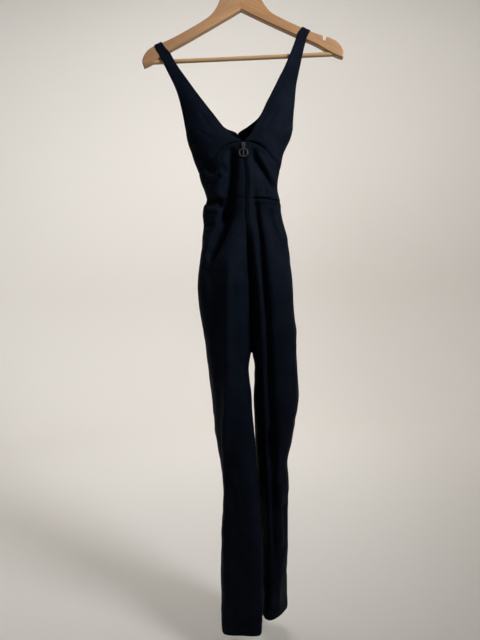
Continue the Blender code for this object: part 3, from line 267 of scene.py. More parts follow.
# ------------------------------------------------------------------------- folds
# Each row, in millimetres: how far the cloth goes in (a ridge is negative), the half width at 1/e
# of that depth, and then x and z of the points of the fold's line, from its top end.
FRONT_FOLDS = (
    (20, 8.5, (-24.5, -454), (-25, -500), (-31, -560), (-35, -592), (-43, -625)),
    (14, 12.5, (-32, -575), (-52, -632), (-82, -700)),
    (9, 11, (-38, -490), (-43, -540), (-46, -590)),
    (10, 7.5, (17, -456), (22, -480), (40, -509), (56, -537), (68, -554)),
    (-5, 7, (29, -470), (46, -500), (64, -532)),
    (14, 8, (20, -520), (20, -576), (27, -640), (31, -712), (37, -800), (40, -892), (42, -990),
     (46, -1070), (50, -1190)),
    (9, 8, (53, -585), (57, -625), (71, -665), (74, -710)),
    (10, 8, (-98, -468), (-82, -490), (-62, -514)),
    (-4, 6, (-60, -504), (-84, -525)),
    (7, 6, (-50, -511), (-80, -535)),
    (12, 8.5, (-92, -566), (-70, -567), (-48, -574)),
    (4, 5, (-92, -597), (-60, -594)),
    (4, 5, (-94, -622), (-66, -620)),
    (5, 5, (44, -528), (42, -562)),
    (-10, 15, (-35, -670), (-40, -736), (-44, -811), (-47, -930), (-52, -992), (-57, -1070),
     (-60, -1150)),
    (-7, 8, (24, -712), (29, -812), (31, -990), (32, -1174), (34, -1393)),
    (11, 11, (60, -1225), (64, -1290), (62, -1350)),
    (6, 9, (-50, -1130), (-30, -1210), (-24, -1330)),
)
BACK_FOLDS = (
    (13, 9, (-48, -470), (-44, -560), (-50, -640)),
    (12, 9, (44, -480), (40, -570), (48, -650)),
    (6, 7, (-86, -560), (-55, -566), (-20, -562)),
    (6, 7, (22, -585), (50, -590), (74, -583)),
    (11, 12, (-58, -720), (-54, -850), (-48, -1020), (-40, -1150)),
    (11, 12, (60, -700), (62, -840), (66, -1000), (50, -1140)),
    (5, 8, (-10, -905), (-19, -930), (-25, -965)),
    (6, 8, (24, -905), (36, -935), (44, -975)),
    (8, 10, (-30, -1190), (-22, -1300), (-30, -1420)),
    (8, 9, (46, -1220), (50, -1320), (44, -1430)),
)
FOLDS = {"front": FRONT_FOLDS, "back": BACK_FOLDS}
FOLD_END = 0.16           # share of a fold's path over which it runs out at each end
FOLD_ROOM = 0.85          # how much of a section's depth a fold may take
RIDGE_ROOM = 0.01         # depth of a section at which a ridge has half its height
TRUNK_BULGE = 0.9         # how a flat section rises from the side: the power of its sine

# --------------------------------------------------- straps, bust and upper back
# Rows of a loft from just below the hanger's arm to the under-bust seam: x, y and z of the outer
# edge and of the inner edge in millimetres, then 1 where the outer edge turns into the side seam
# and 0 where it is a free edge, and how far the cloth bulges between them, in millimetres.
STRAP_UNITS = (MM, MM, MM, MM, MM, MM, 1.0, MM)
BUST_ROWS = {
    "l": (
        (-181.5, -8.6, -233.5, -160, -8.8, -228, 0, 0),
        (-165.5, -10.5, -265, -143, -11.5, -259, 0, 1),
        (-149, -12.5, -300, -116, -16.5, -301, 0, 2),
        (-138.5, -13.5, -328, -90, -21.5, -340.5, 0.1, 4),
        (-132.5, -12, -356, -65, -26.5, -375.5, 0.2, 6),
        (-128, -7.5, -390, -41, -32.5, -410, 0.5, 7),
        (-123.5, -0.3, -427, -18, -39.5, -435, 1, 6),
        (-114, -0.2, -460, -6, -44, -441.5, 1, 3),
    ),
    "r": (
        (139.5, -8.6, -229, 117, -8.8, -221.5, 0, 0),
        (131, -10.5, -264, 103, -11.5, -255, 0, 1),
        (121.5, -12.5, -304, 83.5, -17, -295, 0, 2),
        (117, -13.5, -333, 64, -22.5, -333, 0.1, 4),
        (113, -12, -365, 46.5, -28, -369, 0.2, 6),
        (110.5, -7, -392, 30, -33.5, -399.5, 0.5, 7),
        (107, -0.3, -420, 15, -39.5, -429, 1, 6),
        (90.5, -0.2, -454, 5.5, -44, -440, 1, 3),
    ),
}
BACK_ROWS = {
    "l": (
        (-181.5, 8.6, -233.5, -160, 8.8, -228, 0, 0),
        (-165.5, 10.5, -265, -144, 11.5, -259, 0, 1),
        (-149.5, 12.5, -300, -118, 15, -298, 0, 2),
        (-140, 13, -333, -90, 19, -333, 0.1, 3),
        (-133, 11, -366, -64, 23, -364, 0.2, 4),
        (-128.5, 6.5, -396, -39, 27, -388, 0.5, 5),
        (-123.5, 0.3, -427, -12.2, 30.5, -401, 1, 5),
        (-114, 0.2, -460, -10, 35, -456, 1, 3),
    ),
    "r": (
        (139.5, 8.6, -229, 117, 8.8, -221.5, 0, 0),
        (131, 10.5, -264, 103, 11.5, -255, 0, 1),
        (122, 12.5, -303, 81, 15, -293, 0, 2),
        (117, 13, -333, 58, 19, -330, 0.1, 3),
        (113, 11, -365, 37, 23, -367, 0.2, 4),
        (110.5, 6, -393, 13, 27, -385, 0.5, 5),
        (107, 0.3, -420, -11.8, 30.5, -401, 1, 5),
        (90.5, 0.2, -454, -10, 35, -456, 1, 3),
    ),
}
SHOULDER_X = {"l": (-0.1906, -0.1744), "r": (0.1548, 0.1370)}   # outer and inner edge on the arm
# The strap's way round the arm's rounded top edge: y and height from the edge line, in
# shares of the strap's face distance and in metres.
WRAP = ((0.05, 0.0010), (0.62, 0.0010), (0.89, 0.0001), (1.0, -0.0021), (1.0, -0.0090))
WRAP_DROP = 0.025         # height over which a strap's edges go from the arm to the first row

# Height of the seams across a half, from the side (0) to the centre (1).
SEAM_STEPS = (0.0, 0.25, 0.45, 0.65, 0.85, 1.0)
UNDERBUST_Z = {"l": (-0.500, -0.490, -0.475, -0.460, -0.4475, -0.4465),
               "r": (-0.500, -0.488, -0.472, -0.457, -0.4465, -0.4465)}
BACK_SEAM_Z = -0.500
WAIST_CENTRE_Z = -0.5675
WAIST_SIDE_Z = {"l": -0.566, "r": -0.570}

# ------------------------------------------------------------- wooden hanger
# Half outline of the wood, x from the centre line and z, top edge first and then the underside.
ARM_TOP = ((0.0, -0.0750), (0.014, -0.0762), (0.028, -0.0825), (0.037, -0.0950), (0.045, -0.1140),
           (0.0545, -0.1330), (0.069, -0.1495), (0.088, -0.1615), (0.125, -0.1810),
           (0.156, -0.1960), (0.1757, -0.2040), (0.1965, -0.2113), (0.211, -0.2205),
           (0.220, -0.2330), (0.2235, -0.2430))
ARM_UNDER = ((0.2212, -0.2560), (0.2150, -0.2540), (0.2060, -0.2500), (0.1950, -0.2440),
             (0.1630, -0.2240), (0.125, -0.2050), (0.093, -0.1885), (0.062, -0.1725),
             (0.030, -0.1555), (0.0, -0.1394))
NOTCH = {"x": 0.1825, "width": 0.009, "depth": 0.0105}

# ------------------------------------------------------------------ finer form
# Soft creases on top of the folds, in the same columns.
FRONT_CREASES = (
    (2.2, 3, (11, -444.5), (30, -452), (50, -464)),
    (1.8, 3.2, (30, -465), (52, -476), (70, -490)),
    (1.2, 2.8, (14, -468), (26, -500), (38, -522)),
    (-1.2, 3, (30, -488), (45, -514), (60, -539)),
    (2, 3, (32, -531), (33, -548), (32, -566)),
    (1.5, 2.8, (57, -542), (55, -556), (56, -568)),
    (-1.4, 2.8, (12.5, -490), (12.5, -570), (16.5, -650), (20, -730)),
    (1.1, 2.2, (5, -460), (6, -530), (5.5, -606)),
    (1.6, 3, (-8, -640), (-6, -646), (6, -647)),
    (1.2, 2.6, (-30, -650), (-15, -653.5), (-4, -652)),
    (1.6, 3.4, (-20, -458), (-38, -463), (-56, -476)),
    (2.2, 3.4, (-56, -482), (-76, -483), (-98, -499)),
    (1.8, 3, (-36, -526), (-56, -542), (-86, -546)),
    (1.3, 2.8, (-90, -608), (-74, -606), (-58, -609)),
    (1.6, 3.2, (-93, -636), (-80, -634), (-70, -636)),
    (-1.5, 3.4, (-33, -600), (-48, -624), (-56, -640)),
    (1.6, 4, (64, -590), (72, -624), (86, -656)),
    (1.4, 3.6, (40, -580), (43, -620), (48, -670)),
    (1.2, 3.2, (46, -736), (54, -739), (64, -737)),
    (1.2, 3.2, (78, -945), (88, -949), (100, -944)),
    (2.6, 7, (-92, -704), (-76, -760), (-68, -840)),
    (1.6, 6, (-22, -760), (-26, -860), (-24, -940)),
    (2, 6, (-74, -920), (-70, -1020), (-68, -1100)),
    (1.4, 3.6, (-83, -890), (-60, -898), (-40, -894)),
    (1.3, 3.4, (-50, -1042), (-30, -1048), (-12, -1044)),
    (1.8, 6, (-42, -1180), (-34, -1280), (-36, -1380)),
    (1.2, 3.4, (-60, -1230), (-40, -1235), (-20, -1232)),
    (2, 5.5, (56, -820), (62, -900), (68, -980)),
    (1.6, 5, (86, -860), (92, -930), (90, -1000)),
    (1.8, 5, (25, -1010), (26, -1110), (25, -1200)),
    (2.2, 6, (58, -1060), (66, -1130), (64, -1200)),
    (1.4, 3.4, (30, -1170), (46, -1176), (64, -1170)),
    (1.4, 4.2, (42, -1330), (47, -1390), (45, -1460)),
    (1.5, 4, (-105, -408), (-86, -423), (-62, -440)),
    (1.2, 4.5, (-95, -370), (-76, -400), (-56, -424)),
    (1.5, 4, (93, -400), (76, -420), (54, -436)),
    (1.2, 4.5, (80, -360), (64, -390), (47, -416)),
    # the hip fold, the crest down the left leg and the plane beside it
    (8, 9.5, (-33, -570), (-46, -622), (-62, -660), (-79, -696), (-94, -732)),
    (6, 8, (-86, -574), (-60, -577), (-34, -579)),
    (-3.8, 4.6, (-34, -650), (-40, -736), (-44, -811), (-47, -930), (-52.5, -992), (-57.5, -1070),
     (-61, -1160), (-64, -1300), (-65, -1490)),
    (6, 18, (-72, -690), (-76, -800), (-73, -930), (-71, -1060)),
    # the valley and the thin crest down the right leg, which go on below its knee
    (4, 4.2, (29, -660), (34.5, -740), (38, -820), (40.5, -900), (42.5, -990), (46, -1070),
     (50, -1170)),
    (-1.8, 2.7, (15, -575), (20.5, -638), (25, -720), (28.5, -810), (30, -900), (30.5, -1000),
     (31.5, -1100), (33, -1200)),
    (10, 6.6, (43, -1040), (45, -1140), (45, -1250), (46.5, -1370)),
    (-6, 6.6, (56, -1140), (58, -1230), (59, -1350)),
    (-3.6, 4, (33, -1140), (37, -1230), (36, -1360), (35, -1490)),
    (-4, 8, (48, -1390), (50, -1430), (49, -1490)),
    # the lip along the left leg's inner edge
    (-1.6, 3.2, (4, -1200), (8.5, -1300), (8, -1490)),
    (-4.5, 14, (-4, -1120), (0, -1250), (1, -1480)),
    (6, 15, (-48, -1060), (-50, -1250), (-50, -1480)),
    # above and below the right half of the waist seam
    (3, 2.4, (12, -567.2), (45, -568), (80, -569.4)),
    (-1.6, 3, (12, -573.5), (45, -574.2), (80, -575.5)),
)
BACK_CREASES = (
    (1.8, 3.4, (-90, -430), (-64, -456), (-36, -470)),
    (1.6, 3.2, (84, -436), (60, -460), (30, -468)),
    (1.3, 4, (-90, -376), (-64, -404), (-40, -416)),
    (1.3, 4, (76, -364), (56, -396), (34, -410)),
    (1.8, 3.2, (-14, -506), (-18, -534), (-12, -564)),
    (1.6, 3, (18, -508), (16, -532), (22, -558)),
    (1.8, 3.2, (-78, -510), (-60, -522), (-30, -526)),
    (1.6, 3, (74, -520), (58, -534), (34, -542)),
    (1.5, 3, (-86, -596), (-66, -602), (-40, -600)),
    (1.5, 3.2, (80, -618), (60, -624), (36, -620)),
    (2.2, 5, (-22, -620), (-28, -700), (-22, -780)),
    (2.2, 5, (24, -630), (32, -710), (26, -790)),
    (2, 6, (-86, -680), (-90, -760), (-82, -860)),
    (2, 6, (88, -690), (94, -790), (92, -890)),
    (1.3, 3.6, (-70, -890), (-50, -898), (-26, -892)),
    (1.3, 3.6, (36, -906), (56, -912), (80, -906)),
    (1.8, 5, (-68, -960), (-64, -1060), (-56, -1150)),
    (1.8, 5, (86, -970), (80, -1060), (70, -1140)),
    (1.2, 3.4, (-56, -1090), (-34, -1096), (-16, -1092)),
    (1.4, 4.6, (-50, -1240), (-46, -1340), (-50, -1440)),
    (1.4, 4.6, (30, -1240), (32, -1330), (29, -1430)),
    (1.2, 3.4, (28, -1210), (44, -1215), (62, -1210)),
)
CREASES = {"front": FRONT_CREASES, "back": BACK_CREASES}

# The cloth's slight unevenness: long low waves, by direction, length, height and phase.
WAVES = (
    ((0.90, 0.20, 0.38), 0.083, 0.00045, 0.4),
    ((-0.55, 0.50, 0.67), 0.052, 0.00030, 2.1),
    ((0.25, -0.60, 0.76), 0.037, 0.00022, 4.4),
    ((0.75, 0.65, -0.12), 0.026, 0.00016, 1.3),
    ((-0.30, 0.80, 0.52), 0.019, 0.00012, 5.2),
)
WAVE_BEND = (0.19, 1.7)   # a slower wave that shifts the others: its length and how far, in radians

# The two halves are pressed together near the centre seam, in the cleft above the crotch.
CROTCH_Z = -0.899
CLEFT_FADE = 0.012
CLEFT_REACH = 0.014

# Form of the cloth towards its edges. dip and reach: how far a seam pulls the cloth in, and
# over what distance. turn: width of the turned-in edge, extra: how much thicker it is.
EDGE_FORMS = {
    "seam": {"dip": 0.0015, "reach": 0.0026, "turn": 0.0, "extra": 0.0},
    "turned": {"dip": 0.0003, "reach": 0.0012, "turn": 0.0076, "extra": 0.0006},
    "zip": {"dip": 0.0003, "reach": 0.0012, "turn": 0.0060, "extra": 0.0005},
    "hem": {"dip": 0.0002, "reach": 0.0012, "turn": 0.0222, "extra": 0.0007},
}
TURN_STEP = 0.0014        # distance over which the doubled edge thins out
STITCH_SINK = (0.00030, 0.0011)   # depth and half width of the furrow a row of stitches makes
ZIP_STITCH_END_Z = -0.6200        # the zip's stitching ends below it, and fades into the seam
ZIP_STITCH_FADE = 0.004
STITCHED = {"turned": (0.0068,), "zip": (0.0052,), "hem": (0.0197, 0.0231)}

# ------------------------------------------------------------------ grid density
SURFACE_TOP = -0.432
SURFACE_STEP = 0.002      # height between the worked-out sections
SURFACE_SPARE = 0.008
SURFACE_SAMPLES = 241     # points round a quarter of a section
CENTRE_READ = 6           # samples over which the slope at the centre is read
STRAP_SAMPLES = 161
GRID_STEP = 0.0028        # across and down the cloth, away from its edges
NEAR_EDGE = (0.0, 0.0007, 0.0015, 0.0025, 0.0036, 0.0045, 0.0052, 0.0059, 0.0068, 0.0077, 0.0088,
             0.0105)
NEAR_HEM = (0.0, 0.0007, 0.0016, 0.0030, 0.0060, 0.0090, 0.0120, 0.0150, 0.0175, 0.0188, 0.0197,
            0.0206, 0.0214, 0.0222, 0.0231, 0.0240, 0.0255)
LEAST_WIDTH = 2.1         # a narrower line, in reaches of NEAR_EDGE, has its columns squeezed
NEAR_SHOULDER = (0.0, 0.0006, 0.0012, 0.0020, 0.0028, 0.0036, 0.0046, 0.0058, 0.0072, 0.0088, 0.0106,
                 0.0126)
# Sizes that set how many rows and columns a piece has.
UPPER_WIDTH = 0.105
MIDRIFF_HEIGHT = 0.10
MIDRIFF_WIDTH_Z = {"front": -0.52, "back": -0.535}
SEAM_BELOW = 0.02         # how far under the under-bust seam the loft of an upper piece is led
ARMPIT_Z = {"l": -0.424, "r": -0.417}     # where the armhole ends and the side seam begins
ARMPIT_FADE = 0.012
RIM_LOOPS = 3


# ------------------------------------------------------------------ small helpers
def smooth_columns(knots, rows, at):
    """Rows of a table read at any levels along a smooth curve through them."""
    knots = np.asarray(knots, float)
    rows = np.asarray(rows, float)
    if knots[0] > knots[-1]:
        knots = knots[::-1]
        rows = rows[::-1]
    at = np.clip(np.asarray(at, float), knots[0], knots[-1])
    step = np.diff(knots)
    slope = np.diff(rows, axis=0) / step[:, None]
    tangent = np.zeros_like(rows)
    tangent[1:-1] = (slope[:-1] * step[1:, None] + slope[1:] * step[:-1, None])
    tangent[1:-1] /= (step[1:] + step[:-1])[:, None]
    tangent[0] = slope[0]
    tangent[-1] = slope[-1]
    i = np.clip(np.searchsorted(knots, at, side="right") - 1, 0, len(step) - 1)
    h = step[i][:, None]
    t = ((at - knots[i]) / step[i])[:, None]
    return ((2 * t**3 - 3 * t**2 + 1) * rows[i] + (t**3 - 2 * t**2 + t) * h * tangent[i]
            + (-2 * t**3 + 3 * t**2) * rows[i + 1] + (t**3 - t**2) * h * tangent[i + 1])


def smoothstep(t):
    t = np.clip(t, 0.0, 1.0)
    return t * t * (3 - 2 * t)


def run_along(points):
    """Distances along lines of points, whose last axis but one runs along the line."""
    step = np.linalg.norm(np.diff(points, axis=-2), axis=-1)
    start = np.zeros(step.shape[:-1] + (1,))
    return np.concatenate([start, np.cumsum(step, axis=-1)], axis=-1)


def read_along(points, run, at):
    """Points of a line at distances along it."""
    return np.stack([np.interp(at, run, points[:, axis]) for axis in range(3)], axis=1)


def unit(vectors):
    return vectors / np.linalg.norm(vectors, axis=-1, keepdims=True)


def linked(name, data):
    """A new object in the scene."""
    obj = bpy.data.objects.new(name, data)
    bpy.context.scene.collection.objects.link(obj)
    return obj


# ------------------------------------------------------------- form of the cloth
def fold_depth(folds, x, z):
    """How far folds take the cloth inwards at x, z."""
    total = np.zeros_like(x)
    for depth, width, *points in folds:
        path = np.array(points) * MM
        lengths = np.linalg.norm(np.diff(path, axis=0), axis=1)
        best = np.full(x.shape, 1e9)
        share = np.zeros_like(x)
        run = 0.0
        for start, end, length in zip(path[:-1], path[1:], lengths):
            t = ((x - start[0]) * (end[0] - start[0]) + (z - start[1]) * (end[1] - start[1]))
            t = np.clip(t / length**2, 0.0, 1.0)
            away = np.hypot(x - start[0] - t * (end[0] - start[0]),
                            z - start[1] - t * (end[1] - start[1]))
            nearer = away < best
            best = np.where(nearer, away, best)
            share = np.where(nearer, (run + t * length) / lengths.sum(), share)
            run += length
        ends = smoothstep(share / FOLD_END) * smoothstep((1 - share) / FOLD_END)
        total += depth * MM * ends * np.exp(-(best / (width * MM))**2)
    return total


def sections(half, z):
    """The section columns of one half, read at the levels z."""
    outline = 1 if half == "l" else 2
    table = [(row[0], row[outline], 0, *row[3:]) for row in TRUNK_SECTIONS] + list(LEG_SECTIONS[half])
    values = smooth_columns([row[0] for row in table], [row[1:] for row in table], z / MM)
    units = [1 if name.endswith("cleft") else MM for name in SECTION_COLUMNS[1:]]
    return dict(zip(SECTION_COLUMNS[1:], (values * units).T[:, :, None]))


def quarter(half, face, z):
    """Cloth lines of one half and face at the levels z: (levels, samples, 3), side to centre."""
    row = sections(half, z)
    out = OUT[face]
    s = np.linspace(0.0, 1.0, SURFACE_SAMPLES)[None, :]
    centre_x, centre_y = row[face + "_x"], row[face + "_y"]
    cleft = np.clip(row[face + "_cleft"], 0.0, 1.0)
    flat_across = 1 - np.cos(np.pi * s / 2)
    tube_across = (1 - np.cos(np.pi * s)) / 2
    across = (1 - cleft) * flat_across + cleft * tube_across
    levels, squares = np.array(SQUARE_LEVELS).T
    square = np.interp(-z, -levels, squares)[:, None]
    press = HEM_PRESS[half]
    pressed = smoothstep((HEM_PRESS_TOP - z[:, None]) / (HEM_PRESS_TOP - HEM_Z)) * (face == "front")
    square = square + press["square"] * pressed
    lobe = np.tanh(square * np.sin(np.pi * s**(1 + press["lean"] * pressed))) / np.tanh(square)
    lobe = lobe * (1 - press["turn"] * pressed * s**2)
    rise = ((1 - cleft) * (centre_y - row["side_y"]) * out * np.sin(np.pi * s / 2)**TRUNK_BULGE
            + cleft * row[face + "_deep"] * lobe)
    chord = row["side_y"] + cleft * (centre_y - row["side_y"]) * tube_across
    x = row["outline"] + (centre_x - row["outline"]) * across
    fold = fold_depth(FOLDS[face], x, z[:, None] + 0 * x)
    room = FOLD_ROOM * rise + 1e-6
    valley = rise - room * np.tanh(fold / room)
    rise = np.where(fold > 0, valley, rise - fold * rise / (rise + RIDGE_ROOM))
    y = chord + out * rise
    deep = y[:, -1] - y[:, -1 - CENTRE_READ]
    steep = np.abs(deep) / np.hypot(x[:, -1] - x[:, -1 - CENTRE_READ], deep)
    inset = (SEAM_GAP / 2 + CLOTH / 2 * steep)[:, None] * -SIDE[half]
    return np.stack([x - inset * across, y, z[:, None] + 0 * x], axis=2)


def facing(half, face):
    """Sign that turns a half's grid normals outwards."""
    return SIDE[half] * OUT[face] * -1


def unit_normals(points, outward):
    """Normals of a grid of points, all on the side that outward says."""
    return unit(np.cross(np.gradient(points, axis=1), np.gradient(points, axis=0))) * outward


class Surface:
    """The cloth of one half and face, read by share of the way across and height."""

    def __init__(self, half, face):
        self.half, self.face = half, face
        levels = int(round((SURFACE_TOP - HEM_Z + SURFACE_SPARE) / SURFACE_STEP)) + 1
        self.z = SURFACE_TOP - SURFACE_STEP * np.arange(levels)
        lines = quarter(half, face, self.z)
        run = run_along(lines)
        self.length = run[:, -1]
        shares = np.linspace(0.0, 1.0, SURFACE_SAMPLES)
        self.points = np.array([read_along(*row) for row in zip(lines, run, shares * run[:, -1:])])

    def at(self, share, z):
        """Points at shares across (side 0, centre 1) and heights."""
        row = np.clip((SURFACE_TOP - z) / SURFACE_STEP, 0, len(self.z) - 1.001)
        column = np.clip(share, 0, 1) * (SURFACE_SAMPLES - 1.001)
        i, j = row.astype(int), column.astype(int)
        u, v = (row - i)[..., None], (column - j)[..., None]
        upper = self.points[i, j] * (1 - v) + self.points[i, j + 1] * v
        lower = self.points[i + 1, j] * (1 - v) + self.points[i + 1, j + 1] * v
        return upper * (1 - u) + lower * u

    def width(self, z):
        return np.interp(-z, -self.z, self.length)

    def inside(self, away, z, trim=True):
        """Shares across for a ladder of columns, with the seam gaps and the rounded rims left free."""
        width = self.width(z)
        end = 0.0
        if trim:
            end = CLOTH / 2 + (centre_trim(z) if self.face == "front" else SEAM_GAP / 2)
        fixed, shared = away
        return (EDGE_IN + fixed + shared * (width - EDGE_IN - end)) / width


def centre_trim(z):
    """What a front piece leaves free at the centre front, for the zip's chain above its end."""
    open_share = smoothstep((z - SLOT_Z[1]) / (SLOT_Z[0] - SLOT_Z[1]))
    return SEAM_GAP / 2 + (CHAIN_HALF + SEAM_GAP / 2) * open_share


def underbust(surface, share):
    """Height of the seam under the bust, or across the back, at shares across."""
    if surface.face == "back":
        return np.full(len(share), BACK_SEAM_Z)
    return smooth_columns(SEAM_STEPS, [[v] for v in UNDERBUST_Z[surface.half]], share)[:, 0]


def waist(half, share):
    return WAIST_SIDE_Z[half] + (WAIST_CENTRE_Z - WAIST_SIDE_Z[half]) * share


def ladder(length, near_start=NEAR_EDGE, near_end=NEAR_EDGE):
    """Places along lines of about that length, close together near both ends, as a fixed
    distance and a share of the whole length that are added."""
    room = length - near_start[-1] - near_end[-1]
    count = max(2, int(round(room / GRID_STEP)))
    middle = np.linspace(0.0, 1.0, count + 1)[1:-1]
    start, end = np.array(near_start), np.array(near_end)[::-1]
    fixed = np.concatenate([start, start[-1] * (1 - middle) - end[0] * middle, -end])
    shared = np.concatenate([0 * start, middle, 0 * end + 1])
    return fixed, shared


# ------------------------------------------------------------- walls of cloth
def rim_path(rows, columns):
    """Row and column of each point round a grid, in turn."""
    path = [(0, j) for j in range(columns)] + [(i, columns - 1) for i in range(1, rows)]
    path += [(rows - 1, j) for j in range(columns - 2, -1, -1)]
    path += [(i, 0) for i in range(rows - 2, 0, -1)]
    return np.array(path).T


def outward_steps(grid):
    """Directions in the cloth, out over its edge, for the points on the rim of a grid."""
    out = np.zeros_like(grid)
    for rim, inside in ((0, 1), (-1, -2)):
        out[rim] += unit(grid[rim] - grid[inside])
        out[:, rim] += unit(grid[:, rim] - grid[:, inside])
    return out


def wall_mesh(name, grid, normals, half_wall, outward, lay):
    """A closed wall round a grid of points, half_wall to each side, with a half-round rim."""
    rows, columns = grid.shape[:2]
    i, j = rim_path(rows, columns)
    edge_out = unit(outward_steps(grid)[i, j])
    verts = [(grid + normals * half_wall[..., None]).reshape(-1, 3),
             (grid - normals * half_wall[..., None]).reshape(-1, 3)]
    for k in range(1, RIM_LOOPS + 1):
        turn = math.pi * k / (RIM_LOOPS + 1)
        rim = math.cos(turn) * normals[i, j] + math.sin(turn) * edge_out
        verts.append(grid[i, j] + half_wall[i, j, None] * rim)
    index = np.arange(rows * columns).reshape(rows, columns)
    corners = (index[:-1, :-1], index[:-1, 1:], index[1:, 1:], index[1:, :-1])
    skin = np.stack(corners, axis=-1).reshape(-1, 4)
    faces = [skin, skin[:, ::-1] + rows * columns]
    loops = [index[i, j]]
    loops += [2 * rows * columns + k * len(i) + np.arange(len(i)) for k in range(RIM_LOOPS)]
    loops.append(index[i, j] + rows * columns)
    for near, far in zip(loops[:-1], loops[1:]):
        faces.append(np.stack([np.roll(near, -1), near, far, np.roll(far, -1)], axis=1))
    faces = np.concatenate(faces)
    if outward < 0:
        faces = faces[:, ::-1]
    mesh = bpy.data.meshes.new(name)
    mesh.from_pydata(np.concatenate(verts), [], faces.tolist())
    mesh.shade_smooth()
    flat = np.concatenate([lay.reshape(-1, 3)] * 2 + [lay[i, j]] * RIM_LOOPS)
    mesh.attributes.new("lay", "FLOAT_VECTOR", "POINT").data.foreach_set("vector", flat.ravel())
    return mesh


def add_piece(name, mesh, material, body="jumpsuit", stands_for=()):
    """An object that rides on a body and stands for CAD nodes."""
    mesh.materials.append(MATERIALS[material])
    obj = linked(name, mesh)
    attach(obj, body)
    if stands_for:
        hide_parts(*stands_for)
    return obj


def unevenness(points):
    """The slight long waves of the cloth, at points in space, so that they run across seams."""
    bend = WAVE_BEND[1] * np.sin(2 * np.pi * (points[..., 2] + points[..., 0]) / WAVE_BEND[0])
    total = np.zeros(points.shape[:-1])
    for direction, length, height, phase in WAVES:
        total += height * np.sin(2 * np.pi * (points @ np.array(direction)) / length + phase + bend)
    return total


def freedom(normals, centre, z):
    """How far the cloth is free to move: not where two halves are pressed together in a cleft,
    above the crotch."""
    cleft = np.abs(normals[..., 0]) * smoothstep((z - CROTCH_Z) / CLEFT_FADE)
    return 1 - cleft * np.exp(-(centre / CLEFT_REACH)**2)


def edge_work(away, edges):
    """How far sewn edges draw the cloth in, and how much thicker they are."""
    sunk, extra = 0.0, 0.0
    for side, (kind, reach) in edges.items():
        form = EDGE_FORMS[kind]
        there = reach * np.exp(-(away[side] / form["reach"])**2)
        sunk = np.maximum(sunk, form["dip"] * there)
        if form["turn"]:
            turned = reach * smoothstep((form["turn"] + TURN_STEP - away[side]) / TURN_STEP)
            extra = np.maximum(extra, form["extra"] * turned)
            for place in STITCHED[kind]:
                furrow = np.exp(-((away[side] - place) / STITCH_SINK[1])**2)
                sunk = sunk + STITCH_SINK[0] * reach * furrow
    return sunk, extra


def centre_line(surfaces, face, z):
    """Points midway between the inner edges of the two halves."""
    ends = np.ones_like(z)
    return (surfaces["l", face].at(ends, z) + surfaces["r", face].at(ends, z)) / 2


def meeting(surfaces, half, face):
    """Says how far sideways a panel's centre edge has to go for the two halves just to meet."""
    def shift(edge, half_wall):
        z = edge[:, 2]
        room = half_wall + (centre_trim(z) if face == "front" else SEAM_GAP / 2)
        above = smoothstep((z - CROTCH_Z) / CLEFT_FADE)
        return (centre_line(surfaces, face, z)[:, 0] + SIDE[half] * room - edge[:, 0]) * above

    return shift


def cloth_piece(node, face, grid, edges, outward, meet=None):
    """The piece of cloth that stands for a node. edges gives for each side of the grid how it
    is sewn, and how fully at each point."""
    normals = unit_normals(grid, outward)
    across = run_along(grid)
    down = run_along(grid.swapaxes(0, 1)).T
    centre = across[:, -1:] - across
    free = freedom(normals, centre, grid[..., 2])
    inwards = fold_depth(CREASES[face], grid[..., 0], grid[..., 2]) - unevenness(grid)
    grid = grid - normals * (inwards * free)[..., None]
    away = {"side": across, "side_seam": across, "centre": centre, "zip": centre, "top": down,
            "bottom": down[-1:] - down}
    sunk, extra = edge_work(away, edges)
    grid = grid - normals * (sunk * free)[..., None]
    half_wall = CLOTH / 2 + (extra + np.zeros_like(across)) / 2
    if meet:
        near = np.exp(-(centre / CLEFT_REACH)**2)
        grid[..., 0] += meet(grid[:, -1], half_wall[:, -1])[:, None] * near
    normals = unit_normals(grid, outward)
    middle = grid.shape[1] // 2
    lay = np.stack([across - across[:, middle:middle + 1], down, 0 * down], axis=-1)
    mesh = wall_mesh("cloth_" + node, grid, normals, half_wall, outward, lay)
    obj = add_piece("cloth_" + node, mesh, "knit", stands_for=(node,))
    return {"middle": grid, "outer": grid + normals * half_wall[..., None], "normals": normals,
            "away": away}


def edging(**kinds):
    """How each side of a grid is sewn, all along."""
    return {side: (kind, 1.0) for side, kind in kinds.items()}


def columns_of(width, near_end=NEAR_EDGE):
    """A ladder of columns across a width, and their shares across it."""
    columns = ladder(width, near_end=near_end)
    return columns, columns[0] / width + columns[1]


def panel(surface, columns, top, bottom, rows, trim=True):
    """Grid of points between the heights of a top and a bottom edge, given for each column."""
    fixed, shared = rows
    z = top - fixed[:, None] - shared[:, None] * (top - bottom)
    return surface.at(surface.inside(columns, z, trim), z)


def leg_panel(surfaces, half, face):
    """Trouser front or back of one leg, from the waist seam to the hem."""
    surface = surfaces[half, face]
    columns, share = columns_of(surface.width(WAIST_CENTRE_Z))
    rows = ladder(WAIST_CENTRE_Z - HEM_Z, near_end=NEAR_HEM)
    grid = panel(surface, columns, waist(half, share) - EDGE_IN, HEM_Z + CLOTH / 2, rows)
    edges = edging(side="seam", top="seam", bottom="hem", centre="seam")
    if face == "front":
        edges["zip"] = ("zip", smoothstep((grid[:, -1:, 2] - ZIP_STITCH_END_Z) / ZIP_STITCH_FADE))
    return cloth_piece(f"pants_{face}_{half}", face, grid, edges, facing(half, face),
                       meeting(surfaces, half, face))


